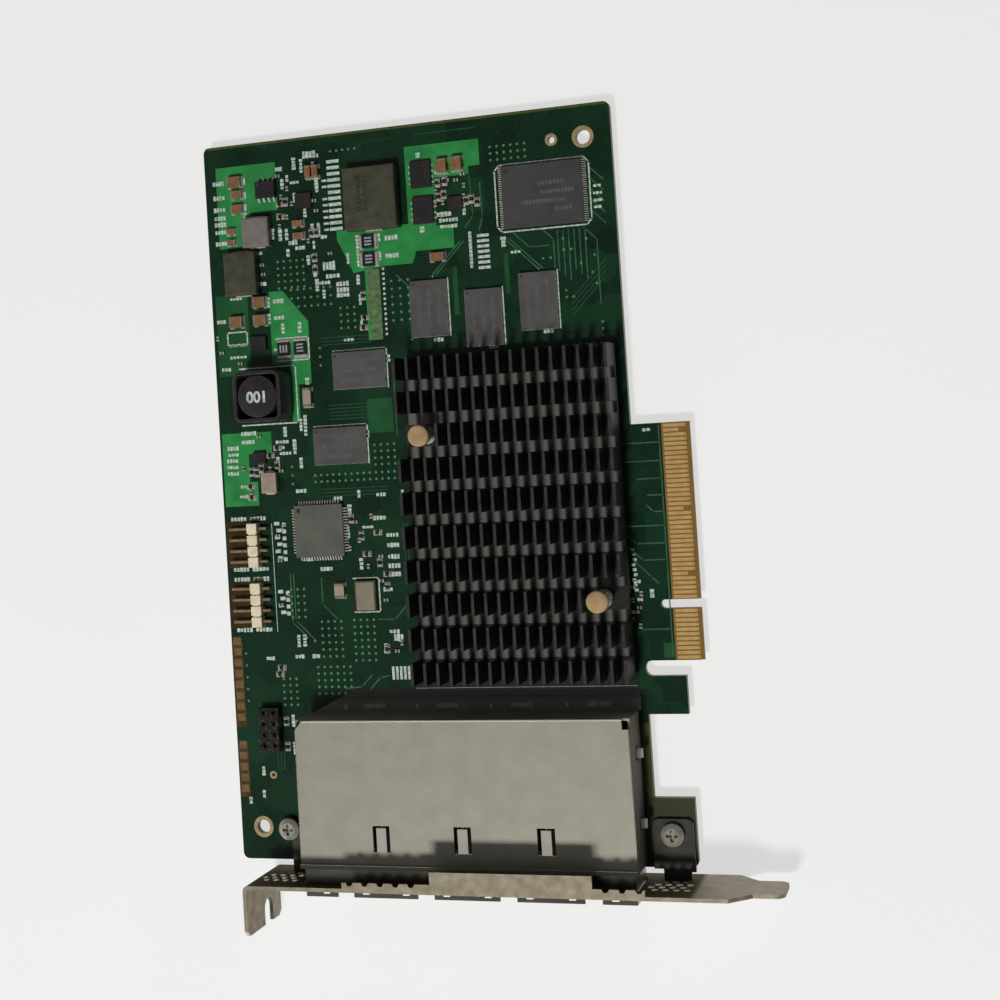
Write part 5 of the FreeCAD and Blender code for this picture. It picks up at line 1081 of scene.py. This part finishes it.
room = bpy.data.worlds.new("room")
room.use_nodes = True
tree = room.node_tree
open_side, dark_end = (-0.6, -0.8, 0.0), -0.7
dim_room, bright_room = 0.05, 0.5
bearing = add(tree, "TexCoord").outputs["Generated"]
toward = add(tree, "VectorMath", {0: bearing, 1: open_side}, operation="DOT_PRODUCT").outputs["Value"]
nearness = math_node(tree, "POWER", ramp(tree, toward, dark_end, 1.0), 2.0)
glow = math_node(tree, "MULTIPLY_ADD", nearness, bright_room, dim_room)
tree.nodes["Background"].inputs["Color"].default_value = (1.0, 0.99, 0.97, 1.0)
tree.links.new(glow, tree.nodes["Background"].inputs["Strength"])
bpy.context.scene.world = room

sheet_metal = bpy.data.collections.new("sheet_metal")
for thing in bpy.context.scene.objects:
    if thing.type == "MESH" and thing.active_material in (cage_sheet, finger_steel, plated):
        sheet_metal.objects.link(thing)
lamp_distance = 0.9
for name, energy, width, depth, way, left_out in (
        ("key", 6.9, 0.13, 0.13, (-0.1, -0.43, 0.9), "visible_glossy"),
        ("window", 10.3, 0.3, 0.08, (0, -0.853, 0.522), "visible_diffuse")):
    lamp = bpy.data.lights.new(name, "AREA")
    lamp.energy = energy
    lamp.shape = "RECTANGLE"
    lamp.size = width
    lamp.size_y = depth
    stand = bpy.data.objects.new(name, lamp)
    stand.location = stage_middle + Vector(way) * lamp_distance
    stand.rotation_euler = (-Vector(way)).to_track_quat("-Z", "Y").to_euler()
    setattr(stand, left_out, False)
    if name == "window":
        stand.light_linking.receiver_collection = sheet_metal
    bpy.context.scene.collection.objects.link(stand)

right_axis = Vector((0.94876, -0.06195, -0.30987))
up_axis = Vector((0.06862, 0.99759, 0.01065))
back_axis = Vector((0.30847, -0.03137, 0.95072))
eye = Vector((64.213, 41.912, 364.38)) * mm
picture, focal, centre_x, centre_y = 1000, 1700, 446.8, 369.6
lens = bpy.data.cameras.new("camera")
lens.sensor_width = 36
lens.lens = lens.sensor_width * focal / picture
lens.shift_x = 0.5 - centre_x / picture
lens.shift_y = centre_y / picture - 0.5
lens.clip_start = 0.01
camera = bpy.data.objects.new("camera", lens)
turn = Matrix((right_axis, up_axis, back_axis)).transposed().to_4x4()
camera.matrix_world = Matrix.Translation(eye) @ turn
bpy.context.scene.collection.objects.link(camera)
bpy.context.scene.camera = camera
bpy.context.scene.view_settings.view_transform = "Standard"
